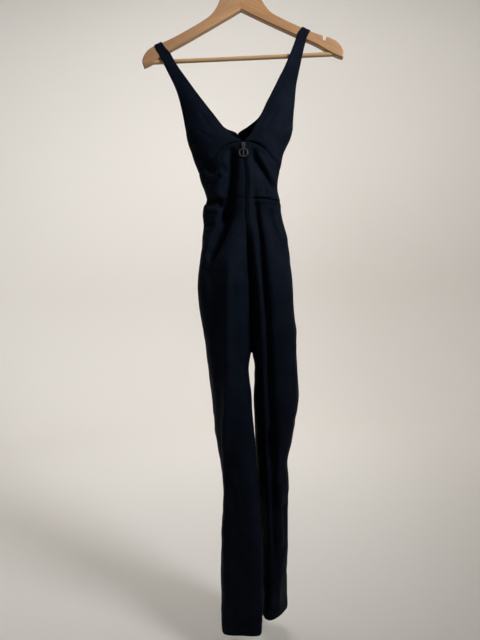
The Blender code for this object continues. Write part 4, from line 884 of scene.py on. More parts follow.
def midriff_front(surfaces, half):
    surface = surfaces[half, "front"]
    columns, share = columns_of(surface.width(MIDRIFF_WIDTH_Z["front"]))
    top, bottom = underbust(surface, share) - EDGE_IN, waist(half, share) + EDGE_IN
    grid = panel(surface, columns, top, bottom, ladder(MIDRIFF_HEIGHT))
    edges = edging(side="seam", top="seam", bottom="seam", zip="zip")
    return cloth_piece(f"midriff_front_{half}", "front", grid, edges, facing(half, "front"),
                       meeting(surfaces, half, "front"))


def midriff_back(surfaces):
    """One piece across the back, worked out as two halves that meet without a seam."""
    halves = []
    for half in "lr":
        surface = surfaces[half, "back"]
        columns, share = columns_of(surface.width(MIDRIFF_WIDTH_Z["back"]), (0.0, GRID_STEP))
        top, bottom = underbust(surface, share) - EDGE_IN, waist(half, share) + EDGE_IN
        rows = ladder(BACK_SEAM_Z - WAIST_CENTRE_Z)
        halves.append(panel(surface, columns, top, bottom, rows, trim=False))
    left, right = halves
    seamless = (left[:, -1:] + right[:, -1:]) / 2
    grid = np.concatenate([left[:, :-1], seamless, right[:, -2::-1]], axis=1)
    edges = edging(side="seam", centre="seam", top="seam", bottom="seam")
    return cloth_piece("midriff_back", "back", grid, edges, facing("l", "back"))


# ------------------------------------------------------ straps, bust, upper back
def tilted(x, z):
    """A point of the hanger, drawn level, where the tilted hanger has it."""
    c, s = math.cos(HANGER_TILT), math.sin(HANGER_TILT)
    return x * c - z * s, x * s + z * c


def arm_height(x):
    """Height of the top edge of the tilted arm at x."""
    edge = sorted(tilted(math.copysign(px, x), pz) for px, pz in ARM_TOP)
    return float(np.interp(x, [p[0] for p in edge], [p[1] for p in edge]))


def strap_rows(half, face):
    """Rows of the loft, in metres, from the shoulder down."""
    outer, inner = SHOULDER_X[half]
    lower = np.array((BUST_ROWS if face == "front" else BACK_ROWS)[half]) * STRAP_UNITS
    rows = []
    for share, height in WRAP:
        drop = max(0.0, -height) / WRAP_DROP
        xo = outer + (lower[0][0] - outer) * drop
        xi = inner + (lower[0][3] - inner) * drop
        y = OUT[face] * (SEAM_GAP / 2 if share == WRAP[0][0] else STRAP_FACE * share)
        zo, zi = (arm_height(x) + height for x in (outer, inner))
        rows.append((xo, y, zo, xi, y, zi, 0.0, 0.0))
    return rows + list(lower)


def strap_line(row, out):
    """One row of the loft as a line of points from the outer to the inner edge."""
    xo, yo, zo, xi, yi, zi, turn, bulge = row
    s = np.linspace(0.0, 1.0, STRAP_SAMPLES)
    across = (1 - turn) * s + turn * (1 - np.cos(np.pi * s / 2))
    depth = (1 - turn) * s + turn * np.sin(np.pi * s / 2)
    x = xo + (xi - xo) * across
    y = yo + (yi - yo) * depth + out * bulge * np.sin(np.pi * s)
    z = zo + (zi - zo) * across
    return np.stack([x, y, z], axis=1)


def seam_line(surface, columns, drop):
    """The top seam of the piece below, as points for the columns of the loft."""
    share = columns[0] / surface.width(UNDERBUST_Z[surface.half][0]) + columns[1]
    z = underbust(surface, share) + SEAM_GAP / 2 - drop
    return surface.at(surface.inside(columns, z), z)


def keep_to_side(grid, half):
    """Keeps a back piece on its own side of the centre-back seam."""
    column = SECTION_COLUMNS.index("back_x")
    rows = TRUNK_SECTIONS[:3]    # those above the back seam
    levels = [-row[0] for row in rows]
    centre = np.interp(-grid[:, :, 2] / MM, levels, [row[column] for row in rows])
    side = SIDE[half]
    grid[:, :, 0] = side * np.maximum(side * grid[:, :, 0], side * centre * MM + EDGE_IN)


def upper(surfaces, half, face):
    """A bust front with its strap, or a back with its strap."""
    surface = surfaces[half, face]
    out = OUT[face]
    columns = ladder(UPPER_WIDTH)
    lines = []
    for row in strap_rows(half, face):
        line = strap_line(row, out)
        run = run_along(line)
        squeeze = min(1.0, (run[-1] - CLOTH) / (NEAR_EDGE[-1] * LEAST_WIDTH))
        at = CLOTH / 2 + columns[0] * squeeze + columns[1] * (run[-1] - CLOTH)
        lines.append(read_along(line, run, at))
    stations = np.array(lines + [seam_line(surface, columns, drop) for drop in (0.0, SEAM_BELOW)])
    gaps = np.linalg.norm(np.diff(stations, axis=0), axis=2).mean(axis=1)
    knots = np.concatenate([[0.0], np.cumsum(gaps)])
    fixed, shared = ladder(knots[-2], near_start=NEAR_SHOULDER)
    start, end = CLOTH / 2, knots[-2] - CLOTH / 2
    levels = start + fixed + shared * (end - start)
    grid = smooth_columns(knots, stations.reshape(len(stations), -1), levels)
    grid = grid.reshape(len(levels), -1, 3)
    normals = unit_normals(grid, 1)
    least = SEAM_GAP / 2 + CLOTH / 2 * np.abs(normals[:, :, 1])
    grid[:, :, 1] = out * np.maximum(out * grid[:, :, 1], least)
    if face == "back":
        keep_to_side(grid, half)
    z = grid[:, :1, 2]
    free = smoothstep((z - ARMPIT_Z[half]) / ARMPIT_FADE)
    edges = {"side": ("turned", free), "side_seam": ("seam", 1 - free), "top": ("seam", 1.0),
             "bottom": ("seam", 1.0), "centre": ("turned", 1.0)}
    name = f"bust_front_{half}" if face == "front" else f"back_upper_{half}"
    return cloth_piece(name, face, grid, edges, facing(half, face))


# ------------------------------------------------------------------------ sewing
def line_beside(cloth, side, distance):
    """The line on the outer face at a distance from one side of a piece, with its normals."""
    away, face, normals = cloth["away"][side], cloth["outer"], cloth["normals"]
    if side in ("top", "bottom"):
        away, face, normals = away.T, face.swapaxes(0, 1), normals.swapaxes(0, 1)
    points, up = [], []
    for row, line, normal in zip(away, face, normals):
        order = np.argsort(row)
        points.append(read_along(line[order], row[order], [distance])[0])
        up.append(read_along(normal[order], row[order], [distance])[0])
    return np.array(points), unit(np.array(up))


def stitches_along(points, normals):
    """Starts, ends and normals of the stitches along a line."""
    run = run_along(points)
    starts = np.arange(STITCH_PITCH / 2, run[-1] - STITCH_LENGTH, STITCH_PITCH)
    middle = starts + STITCH_LENGTH / 2
    return (read_along(points, run, starts), read_along(points, run, starts + STITCH_LENGTH),
            unit(read_along(normals, run, middle)))


def spindles(name, starts, ends, normals, radius, profile, sides=6):
    """Many small rods, joined in one mesh. profile: share of the length, share of the radius
    and how far, in radii, the rod lies above its line."""
    along = unit(ends - starts)
    across = unit(np.cross(along, normals))
    up = np.cross(across, along)
    turn = 2 * np.pi * np.arange(sides) / sides
    rings = []
    for share, thick, lift in profile:
        centre = starts + (ends - starts) * share + up * radius * lift
        ring = np.cos(turn)[:, None] * across[:, None] + np.sin(turn)[:, None] * up[:, None]
        rings.append(centre[:, None] + ring * radius * thick)
    verts = np.stack(rings, axis=1).reshape(-1, 3)
    faces = []
    here = np.arange(sides)
    there = np.roll(here, -1)
    for k in range(len(profile) - 1):
        faces.append(np.stack([here, there, there + sides, here + sides], axis=1) + k * sides)
    body = np.concatenate(faces)
    last = (len(profile) - 1) * sides
    polygons = []
    for first in range(0, len(verts), len(profile) * sides):
        polygons += (body + first).tolist()
        polygons += [(here[::-1] + first).tolist(), (here + first + last).tolist()]
    mesh = bpy.data.meshes.new(name)
    mesh.from_pydata(verts, [], polygons)
    mesh.shade_smooth()
    return mesh


def sew(name, lines):
    """A joined piece of all the stitches along some lines."""
    parts = [np.concatenate(part) for part in zip(*(stitches_along(*line) for line in lines))]
    add_piece(name, spindles(name, *parts, STITCH_R, STITCH_PROFILE), "thread")


def sew_all(pieces):
    """The visible rows of stitches: hems, neckline, armholes and along the zip."""
    rows = {"stitching_" + place: [] for place in ("hems", "neckline", "armholes", "zip")}
    for node, cloth in pieces.items():
        if node.startswith("pants"):
            rows["stitching_hems"] += [line_beside(cloth, "bottom", d) for d in STITCHED["hem"]]
        if node.startswith(("bust", "back_upper")):
            place = STITCHED["turned"][0]
            rows["stitching_neckline"].append(line_beside(cloth, "centre", place))
            line, normals = line_beside(cloth, "side", place)
            keep = line[:, 2] > ARMPIT_Z[node[-1]]
            rows["stitching_armholes"].append((line[keep], normals[keep]))
        if "front" in node and not node.startswith("bust"):
            line, normals = line_beside(cloth, "centre", STITCHED["zip"][0])
            keep = line[:, 2] > ZIP_STITCH_END_Z
            rows["stitching_zip"].append((line[keep], normals[keep]))
    for name, lines in rows.items():
        sew(name, lines)


def binding_strip(name, line, across, normals):
    """One narrow strip of pressed seam allowance behind a seam's line."""
    steps = np.linspace(-BINDING_HALF, BINDING_HALF, BINDING_COLUMNS)
    line = line - normals * (CLOTH / 2 + BINDING_GAP + BINDING_THICK / 2)
    grid = line[:, None] + across[:, None] * steps[None, :, None]
    normals = np.repeat(normals[:, None], BINDING_COLUMNS, axis=1)
    lay = np.stack(np.broadcast_arrays(steps[None], run_along(line)[:, None], 0.0), axis=-1)
    turned = np.cross(across[0], line[1] - line[0]) @ normals[0, 0]
    half_wall = np.full(grid.shape[:2], BINDING_THICK / 2)
    mesh = wall_mesh(name, grid, normals, half_wall, math.copysign(1, turned), lay)
    add_piece(name, mesh, "knit")


def bind_edge(name, cloth, side, keep):
    """A binding behind the seam along one side of a piece, where keep says so."""
    middle, normals = cloth["middle"], cloth["normals"]
    if side == "top":
        rim, inside, normals = middle[0], middle[1], normals[0]
    else:
        column, beside = (0, 1) if side == "side" else (-1, -2)
        rim, inside, normals = middle[:, column], middle[:, beside], normals[:, column]
    out = unit(rim - inside)
    kept = keep(rim)
    line = rim + out * (CLOTH + SEAM_GAP) / 2
    binding_strip(name, line[kept], out[kept], normals[kept])


def bind_centre(name, halves, top, bottom):
    """A binding behind a centre seam, straight across it also where the cloth folds in."""
    z = np.linspace(top, bottom, int((top - bottom) / GRID_STEP))
    ends = [cloth["middle"][:, -1] for cloth in halves]
    line = sum(read_along(end, -end[:, 2], -z) for end in ends) / 2
    normals = np.zeros_like(line)
    normals[:, 1] = math.copysign(1, line[0, 1])
    binding_strip(name, line, np.zeros_like(line) + X_AXIS, normals)


def bind_seams(pieces):
    """The overlocked allowances that close each seam from behind."""
    def between(low, high):
        return lambda line: (line[:, 2] > low + BINDING_END) & (line[:, 2] < high - BINDING_END)

    def beside_centre(line):
        return (np.abs(line[:, 0]) > BINDING_CLEAR) & (run_along(line) > BINDING_END)

    def but_ends(line):
        return (run_along(line) > BINDING_END) & (run_along(line[::-1])[::-1] > BINDING_END)

    for half in "lr":
        waist_side, bust_side = WAIST_SIDE_Z[half], UNDERBUST_Z[half][0]
        seams = (
            # strip, the piece whose edge it lies behind, that edge, and the stretch that it keeps
            ("waist_front", "pants_front", "top", beside_centre),
            ("waist_back", "pants_back", "top", beside_centre),
            ("underbust", "midriff_front", "top", beside_centre),
            ("side_leg", "pants_front", "side", between(HEM_Z, waist_side)),
            ("side_midriff", "midriff_front", "side", between(waist_side, bust_side)),
            ("side_bust", "bust_front", "side", between(bust_side, ARMPIT_Z[half])),
            ("inseam", "pants_front", "centre", between(HEM_Z, CROTCH_Z)),
        )
        for strip, piece, edge, keep in seams:
            bind_edge(f"binding_{strip}_{half}", pieces[f"{piece}_{half}"], edge, keep)
    bind_edge("binding_back", pieces["midriff_back"], "top", but_ends)
    centre_seams = (("pants_front", TAPE_END_Z - SEAM_GAP * 2, CROTCH_Z),
                    ("pants_back", WAIST_CENTRE_Z - CLOTH, CROTCH_Z),
                    ("back_upper", BACK_NECK_Z, BACK_SEAM_Z + CLOTH))
    for piece, top, bottom in centre_seams:
        halves = (pieces[piece + "_l"], pieces[piece + "_r"])
        bind_centre("binding_centre_" + piece, halves, top, bottom)


# ----------------------------------------------------------------------- the zip
def centre_front(surfaces, z):
    """Middle line of the centre front at the heights z, with its outward normals."""
    line = centre_line(surfaces, "front", z)
    return line, unit(np.cross(np.gradient(line, axis=0), X_AXIS))


def zip_tape(surfaces):
    """The woven tape behind the two fronts."""
    z = np.linspace(ZIP_TOP_Z, TAPE_END_Z, TAPE_ROWS)
    line, normals = centre_front(surfaces, z)
    across = np.linspace(-TAPE_HALF, TAPE_HALF, TAPE_COLUMNS)
    normals = np.repeat(normals[:, None], len(across), axis=1)
    behind = CLOTH / 2 + SEAM_GAP + TAPE_THICK / 2
    grid = line[:, None] + X_AXIS * across[None, :, None] - normals * behind
    lay = np.stack(np.broadcast_arrays(across[None], -z[:, None], 0 * z[:, None]), axis=-1)
    half_wall = np.full(grid.shape[:2], TAPE_THICK / 2)
    mesh = wall_mesh("zip_tape_woven", grid, normals, half_wall, -1, lay)
    add_piece("zip_tape_woven", mesh, "tape", stands_for=("zip_tape",))


def zip_coil(surfaces):
    """Two rows of coil teeth that mesh at the centre front, with a stop below them."""
    rows = []
    for side, shift in ((-1, 0.0), (1, TOOTH_PITCH / 2)):
        z = np.arange(ZIP_TOP_Z - shift - TOOTH_PITCH / 2, ZIP_END_Z + STOP[2], -TOOTH_PITCH)
        line, normals = centre_front(surfaces, z)
        line = line + normals * TOOTH_OUT
        own, past = (side * reach * X_AXIS for reach in TOOTH_REACH)
        rows.append((line + own, line - past, normals))
    parts = [np.concatenate(part) for part in zip(*rows)]
    add_piece("zip_coil", spindles("zip_coil", *parts, TOOTH_R, TOOTH_PROFILE, sides=8), "coil")
    place = centre_line(surfaces, "front", np.array([ZIP_END_Z]))[0]
    stop = rounded_block(STOP, STOP_ROUND)
    bmesh.ops.translate(stop, verts=stop.verts, vec=place + [0.0, TOOTH_OUT, STOP[2] / 2])
    add_piece("zip_bottom_stop", mesh_of("zip_bottom_stop", stop), "coil")


# ------------------------------------------------------------- solid small parts
def rounded_block(size, radius):
    """A block with rounded edges, as a bmesh about the origin."""
    block = bmesh.new()
    bmesh.ops.create_cube(block, size=1.0, matrix=Matrix.Diagonal((*size, 1.0)))
    bmesh.ops.bevel(block, geom=list(block.edges), offset=radius, segments=3, profile=0.5,
                    affect="EDGES")
    return block


def mesh_of(name, shape):
    """A bmesh as a mesh, smooth but for its sharp edges."""
    mesh = bpy.data.meshes.new(name)
    shape.to_mesh(mesh)
    shape.free()
    mesh.shade_smooth()
    mesh.set_sharp_from_angle(angle=SHARP_ANGLE)
    return mesh


def made_mesh(obj):
    """An object's mesh with its modifiers worked in. The object goes."""
    bpy.context.view_layer.update()
    mesh = bpy.data.meshes.new_from_object(obj.evaluated_get(bpy.context.evaluated_depsgraph_get()))
    bpy.data.objects.remove(obj)
    return mesh


def mesh_of_curve(name, curve, *moves):
    """A curve turned into a mesh and moved into place."""
    shape = bmesh.new()
    shape.from_mesh(made_mesh(linked(name, curve)))
    bmesh.ops.remove_doubles(shape, verts=shape.verts, dist=MERGE)
    bmesh.ops.recalc_face_normals(shape, faces=shape.faces)
    for move in moves:
        bmesh.ops.transform(shape, matrix=move, verts=shape.verts)
    return mesh_of(name, shape)


def curve_of(name, lines, closed, **settings):
    """A curve through the points of some lines."""
    curve = bpy.data.curves.new(name, "CURVE")
    for key, value in settings.items():
        setattr(curve, key, value)
    for line in lines:
        spline = curve.splines.new("POLY")
        spline.points.add(len(line) - 1)
        for target, point in zip(spline.points, line):
            target.co = (*point, *(0.0,) * (3 - len(point)), 1.0)
        spline.use_cyclic_u = closed
    return curve


def plate_curve(name, outlines, thickness, edge_round):
    """A flat plate with holes and rounded edges, drawn in its own XY plane."""
    return curve_of(name, outlines, True, dimensions="2D", fill_mode="BOTH", offset=-edge_round,
                    extrude=thickness / 2 - edge_round, bevel_depth=edge_round, bevel_resolution=3)


def wire_curve(name, points, radius):
    return curve_of(name, [points], False, dimensions="3D", bevel_depth=radius, bevel_resolution=5,
                    use_fill_caps=True)


def arc(centre, radius, start, end, count):
    """Points of an arc in degrees, both ends included."""
    angles = np.radians(np.linspace(start, end, count))
    return [(centre[0] + radius * math.cos(a), centre[1] + radius * math.sin(a)) for a in angles]


def upright(place):
    """Stands what is drawn in the XY plane up, facing the front, at a place."""
    return Matrix.Translation(place) @ Matrix.Rotation(math.radians(90), 4, "X")


def zip_slider():
    """The slider: a shouldered body and the arched crown that holds the pull."""
    low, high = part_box("zip_slider")
    x = (low.x + high.x) / 2
    hinge = Vector(HINGE)
    front = hinge.y + PULL_OUT
    outline = [*SLIDER_OUTLINE, *((-px, pz) for px, pz in SLIDER_OUTLINE[::-1])]
    body = plate_curve("zip_slider_body", [outline], SLIDER_THICK, SLIDER_ROUND)
    mesh = mesh_of_curve("zip_slider_body", body, upright((x, front + SLIDER_THICK / 2, SLIDER_Z)))
    add_piece("zip_slider_body", mesh, "gunmetal", stands_for=("zip_slider",))
    arch = [(x, front + CROWN_SUNK, hinge.z + CROWN_HALF)]
    for out, up in arc((0.0, 0.0), 1.0, 90, -90, 21):
        arch.append((x, front - CROWN_REACH * out, hinge.z + CROWN_HALF * up))
    arch.append((x, front + CROWN_SUNK, hinge.z - CROWN_HALF))
    crown = mesh_of_curve("zip_slider_crown", wire_curve("zip_slider_crown", arch, CROWN_WIRE_R))
    add_piece("zip_slider_crown", crown, "gunmetal")


def zip_pull():
    """The pull: an eye on the crown, a short neck and a plain ring with one bar."""
    centre = (0.0, -PULL_RING_DROP)
    top, shoulder = PULL_HEAD
    meet = math.degrees(math.asin(PULL_NECK_HALF / PULL_RING_R))
    corner = PULL_HEAD_HALF - PULL_CORNER
    rim = arc((-corner, top - PULL_CORNER), PULL_CORNER, 180, 90, 5)
    rim += arc((corner, top - PULL_CORNER), PULL_CORNER, 90, 0, 5)
    rim += [(PULL_HEAD_HALF, shoulder), (PULL_NECK_HALF, PULL_NECK_END)]
    rim += arc(centre, PULL_RING_R, 90 - meet, -270 + meet, 61)
    rim += [(-PULL_NECK_HALF, PULL_NECK_END), (-PULL_HEAD_HALF, shoulder)]
    (wide, high), (narrow, low) = PULL_EYE
    eye = [(-wide, high), (wide, high), (narrow, low), (-narrow, low)]
    edge = math.degrees(math.asin(PULL_BAR_HALF / PULL_HOLE_R))
    right = arc(centre, PULL_HOLE_R, 90 - edge, -90 + edge, 31)
    left = arc(centre, PULL_HOLE_R, 90 + edge, 270 - edge, 31)
    curve = plate_curve("zip_pull_ring", (rim, eye, right, left), PULL_THICK, PULL_ROUND)
    mesh = mesh_of_curve("zip_pull_ring", curve, upright(HINGE))
    add_piece("zip_pull_ring", mesh, "gunmetal", body="zip_pull", stands_for=("zip_pull",))


# ------------------------------------------------------------------- the hanger
def arm_outline():
    """Smooth outline of one arm, x from the centre line and z."""
    lines = []
    for corners in (np.array(ARM_TOP + ARM_UNDER[:1]), np.array(ARM_UNDER)):
        run = run_along(corners)
        lines.append(smooth_columns(run, corners, np.linspace(0.0, run[-1], ARM_POINTS)))
    return np.concatenate([lines[0], lines[1][1:]])


def arm_cutter(side):
    """What is cut from an arm: its strap notch, with a round bottom, and all past the joint."""
    x, half = side * NOTCH["x"], NOTCH["width"] / 2
    edge = float(np.interp(NOTCH["x"], *np.array(ARM_TOP).T))
    notch = arc((x, edge - NOTCH["depth"] + half), half, 180, 360, 17)
    notch += [(x + half, edge + half * 3), (x - half, edge + half * 3)]
    end, far, low = side * SEAM_GAP / 2, -side * JOINT_REACH * 2, ARM_UNDER[-1][1] * 2
    joint = [(end, low), (end, 0.0), (far, 0.0), (far, low)]
    curve = plate_curve("arm_cutter", [notch, joint], WOOD_THICK * 2, 0.0)
    return mesh_of_curve("arm_cutter", curve, upright((0, 0, 0)), HANGER_TURN)


def cut_out(mesh, cutter, name):
    """A mesh with the cutter's volume taken out of it and the fresh edges softened."""
    block, tool = (linked(part.name, part) for part in (mesh, cutter))
    cut = block.modifiers.new("cut", "BOOLEAN")
    cut.operation = "DIFFERENCE"
    cut.object = tool
    soften = block.modifiers.new("soften", "BEVEL")
    soften.width = NOTCH_EDGE
    soften.segments = 2
    soften.limit_method = "ANGLE"
    soften.angle_limit = CUT_ANGLE
    even = block.modifiers.new("even", "WEIGHTED_NORMAL")
    even.keep_sharp = True
    made = made_mesh(block)
    made.name = name
    bpy.data.objects.remove(tool)
    return made


def wood_arm(half):
    """One wooden arm: a flat board with rounded edges and a notch."""
    side = SIDE[half]
    outline = [(side * x, z) for x, z in arm_outline()]
    outline = [(-side * JOINT_REACH, outline[0][1]), *outline, (-side * JOINT_REACH, outline[-1][1])]
    name = "wood_arm_" + half
    curve = plate_curve(name + "_board", [outline], WOOD_THICK, WOOD_ROUND)
    board = mesh_of_curve(name + "_board", curve, upright((0, 0, 0)), HANGER_TURN)
    add_piece(name, cut_out(board, arm_cutter(side), name), "beech_" + half,
              stands_for=("hanger_arm_" + half,))


def wood_joint():
    """The dark glue line between the two arms."""
    top, bottom = ARM_TOP[0][1] - NOTCH_EDGE, ARM_UNDER[-1][1] + NOTCH_EDGE
    film = rounded_block((SEAM_GAP, WOOD_THICK - 2 * NOTCH_EDGE, top - bottom), SEAM_GAP / 6)
    place = HANGER_TURN @ Matrix.Translation((0, 0, (top + bottom) / 2))
    bmesh.ops.transform(film, matrix=place, verts=film.verts)
    add_piece("wood_joint", mesh_of("wood_joint", film), "beech_joint")


def wood_bar():
    bar = bmesh.new()
    bmesh.ops.create_cone(bar, cap_ends=True, segments=48, radius1=BAR_R, radius2=BAR_R,
                          depth=2 * BAR_HALF)
    along = Matrix.Rotation(math.radians(90), 4, "Y")
    place = HANGER_TURN @ Matrix.Translation((0, 0, BAR_Z)) @ along
    bmesh.ops.transform(bar, matrix=place, verts=bar.verts)
    add_piece("wood_bar", mesh_of("wood_bar", bar), "beech_bar", stands_for=("hanger_bar",))


def wire_hook():
    line = [(0.0, STEM_END_Z), *HOOK_STEM, *arc((0.0, WIRE_R - HOOK_R), HOOK_R, *HOOK_ARC, 90)]
    points = [(x, 0.0, z) for x, z in line]
    mesh = mesh_of_curve("wire_hook", wire_curve("wire_hook", points, WIRE_R), HANGER_TURN)
    add_piece("wire_hook", mesh, "nickel", stands_for=("hanger_hook",))


# --------------------------------------------------------------------- materials
class Finish:
    """A node material and short ways to add to it."""

    def __init__(self, name, **values):
        self.material = bpy.data.materials.new(name)
        self.material.use_nodes = True
        self.tree = self.material.node_tree
        self.shader = self.tree.nodes["Principled BSDF"]
        for socket, value in values.items():
            self.shader.inputs[socket.replace("_", " ")].default_value = value

    def node(self, kind, inputs=None, **settings):
        """A node, whose inputs are joined to other nodes or set to a constant."""
        made = self.tree.nodes.new(kind)
        for key, value in settings.items():
            setattr(made, key, value)
        for key, value in (inputs or {}).items():
            if isinstance(value, bpy.types.NodeSocket):
                self.tree.links.new(value, made.inputs[key])
            else:
                made.inputs[key].default_value = value
        return made

    def maths(self, operation, *values):
        inputs = dict(enumerate(values))
        return self.node("ShaderNodeMath", inputs, operation=operation).outputs[0]

    def noise(self, vector, scale, detail=3.0, roughness=0.5):
        return self.node("ShaderNodeTexNoise", {"Vector": vector, "Scale": scale, "Detail": detail,
                                                "Roughness": roughness}).outputs["Fac"]

    def place(self):
        return self.node("ShaderNodeTexCoord").outputs["Object"]

    def lay(self):
        """Distances across and down the cloth, along its surface."""
        flat = self.node("ShaderNodeAttribute", attribute_name="lay").outputs["Vector"]
        split = self.node("ShaderNodeSeparateXYZ", {"Vector": flat})
        return split.outputs["X"], split.outputs["Y"]

    def stretched(self, vector, scale=(1.0, 1.0, 1.0), turn=(0.0, 0.0, 0.0)):
        """Coordinates that are turned and drawn out, for a grain."""
        inputs = {"Vector": vector, "Scale": scale, "Rotation": turn}
        return self.node("ShaderNodeMapping", inputs).outputs["Vector"]

    def tones(self, key, value, start, end):
        """A finish's two tones, mixed by a value between start and end."""
        return self.ramp(value, *zip((start, end), TONES[key]))

    def ramp(self, value, *stops):
        made = self.node("ShaderNodeValToRGB", {"Fac": value})
        elements = made.color_ramp.elements
        while len(elements) < len(stops):
            elements.new(0.5)
        for element, (at, colour) in zip(elements, stops):
            element.position = at
            element.color = (*colour, 1.0)
        return made.outputs["Color"]

    def spread(self, value, low, high, start=0.3, end=0.7):
        """A number that goes from low to high as the value goes from start to end."""
        return self.node("ShaderNodeMapRange", {"Value": value, "From Min": start, "From Max": end,
                                                "To Min": low, "To Max": high}).outputs["Result"]

    def link(self, **sockets):
        for socket, value in sockets.items():
            self.tree.links.new(value, self.shader.inputs[socket.replace("_", " ")])

    def bump(self, height, distance, strength=1.0, under=None):
        inputs = {"Height": height, "Distance": distance, "Strength": strength}
        if under is not None:
            inputs["Normal"] = under
        return self.node("ShaderNodeBump", inputs).outputs["Normal"]


def knit_finish():
    """Dense matte stretch knit, near-black with a little navy: rows of small loops, a fine fuzz
    and a soft, broad mottle."""
    knit = Finish("knit", Roughness=0.55, Specular_IOR_Level=0.02,
                  Specular_Tint=(0.65, 0.82, 1.0, 1.0))
    across, down = knit.lay()
    wale = knit.maths("MULTIPLY", across, 2 * math.pi / KNIT_WALE)
    lean = knit.maths("MULTIPLY", knit.maths("COSINE", wale), KNIT_LEAN)
    course = knit.maths("ADD", knit.maths("MULTIPLY", down, 2 * math.pi / KNIT_COURSE), lean)
    courses = knit.maths("SINE", course)
    loops = knit.maths("MULTIPLY_ADD", courses, KNIT_COURSE_SHARE, knit.maths("SINE", wale))
    place = knit.place()
    broad = knit.noise(place, scale=21.0, detail=4.0, roughness=0.6)
    fuzz = knit.bump(knit.noise(place, scale=900.0, detail=2.0), FUZZ_BUMP, strength=0.6)
    knit.link(Base_Color=knit.tones("knit", broad, 0.30, 0.72), Roughness=knit.spread(broad, 0.70, 0.54),
              Normal=knit.bump(loops, KNIT_BUMP, strength=0.5, under=fuzz))
    return knit.material


def thread_finish():
    thread = Finish("thread", Specular_IOR_Level=0.06)
    twist = thread.noise(thread.place(), scale=2600.0, detail=2.0)
    thread.link(Base_Color=thread.tones("thread", twist, 0.3, 0.7),
                Roughness=thread.spread(twist, 0.42, 0.6),
                Normal=thread.bump(twist, THREAD_BUMP, strength=0.6))
    return thread.material


def tape_finish():
    """Near-black woven tape: a fine herringbone."""
    tape = Finish("zip_tape_weave", Specular_IOR_Level=0.02)
    across, down = tape.lay()
    run = tape.maths("ADD", down, tape.maths("PINGPONG", across, HERRINGBONE[0]))
    ribs = tape.maths("SINE", tape.maths("MULTIPLY", run, 2 * math.pi / HERRINGBONE[1]))
    tape.link(Base_Color=tape.tones("tape", ribs, 0.0, 1.0),
              Roughness=tape.spread(ribs, 0.6, 0.5, start=0.0, end=1.0),
              Normal=tape.bump(ribs, TAPE_BUMP, strength=0.7))
    return tape.material


def coil_finish():
    coil = Finish("zip_coil_nylon", Specular_IOR_Level=0.02)
    grain = coil.noise(coil.place(), scale=1400.0, detail=2.0)
    coil.link(Base_Color=coil.tones("coil", grain, 0.3, 0.7), Roughness=coil.spread(grain, 0.38, 0.52))
    return coil.material


def metal_finish(name, smoothest, roughest, scale):
    """Plated metal with a soft polish that varies, small scratches and dull spots."""
    metal = Finish(name, Metallic=1.0)
    place = metal.place()
    broad = metal.noise(place, scale, detail=4.0, roughness=0.6)
    drawn = metal.stretched(place, scale=(1.0, 1.0, 12.0), turn=(0.0, 0.6, 0.3))
    scratch = metal.noise(drawn, scale * 6, detail=3.0, roughness=0.7)
    metal.link(Base_Color=metal.tones(name, broad, 0.3, 0.72),
               Roughness=metal.spread(scratch, smoothest, roughest, start=0.35, end=0.65),
               Normal=metal.bump(scratch, SCRATCH_BUMP, strength=0.5))
    return metal.material


def beech_finish(key, name, slope):
    """Varnished beech: long fine grain along the board, broad tone bands and short flecks."""
    wood = Finish(name, Specular_IOR_Level=0.42, Coat_Weight=0.18, Coat_Roughness=0.28)
    turned = wood.stretched(wood.place(), turn=(0.0, slope, 0.0))
    grain = wood.noise(wood.stretched(turned, BEECH_GRAIN), scale=4.0, detail=5.0, roughness=0.65)
    bands = wood.noise(wood.stretched(turned, BEECH_BANDS), scale=1.0, detail=3.0, roughness=0.5)
    short = wood.noise(wood.stretched(turned, BEECH_FLECKS), scale=1.0, detail=1.0)
    fleck = wood.ramp(short, (0.62, (0.0, 0.0, 0.0)), (0.70, (1.0, 1.0, 1.0)))
    mixed = wood.maths("ADD", wood.maths("MULTIPLY", grain, GRAIN_SHARE),
                       wood.maths("MULTIPLY", bands, 1 - GRAIN_SHARE))
    fleck_tone = [FLECK_TONE * c for c in TONES[key][0]]
    spotted = wood.node("ShaderNodeMix", {"Factor": wood.maths("MULTIPLY", fleck, FLECK_STRENGTH),
                                          "A": wood.tones(key, mixed, 0.34, 0.66),
                                          "B": (*fleck_tone, 1.0)}, data_type="RGBA")
    height = wood.maths("SUBTRACT", grain, wood.maths("MULTIPLY", fleck, 0.5))
    wood.link(Base_Color=spotted.outputs["Result"], Roughness=wood.spread(grain, 0.36, 0.50),
              Normal=wood.bump(height, BEECH_BUMP, strength=0.35))
    return wood.material


def stage_finish():
    pale = Finish("pale_stage", Roughness=0.9, Specular_IOR_Level=0.1)
    soft = pale.noise(pale.place(), scale=0.6, detail=1.0)
    lighter = [c * 1.02 for c in STAGE_COLOUR]
    pale.link(Base_Color=pale.ramp(soft, (0.2, STAGE_COLOUR), (0.8, lighter)))
    return pale.material


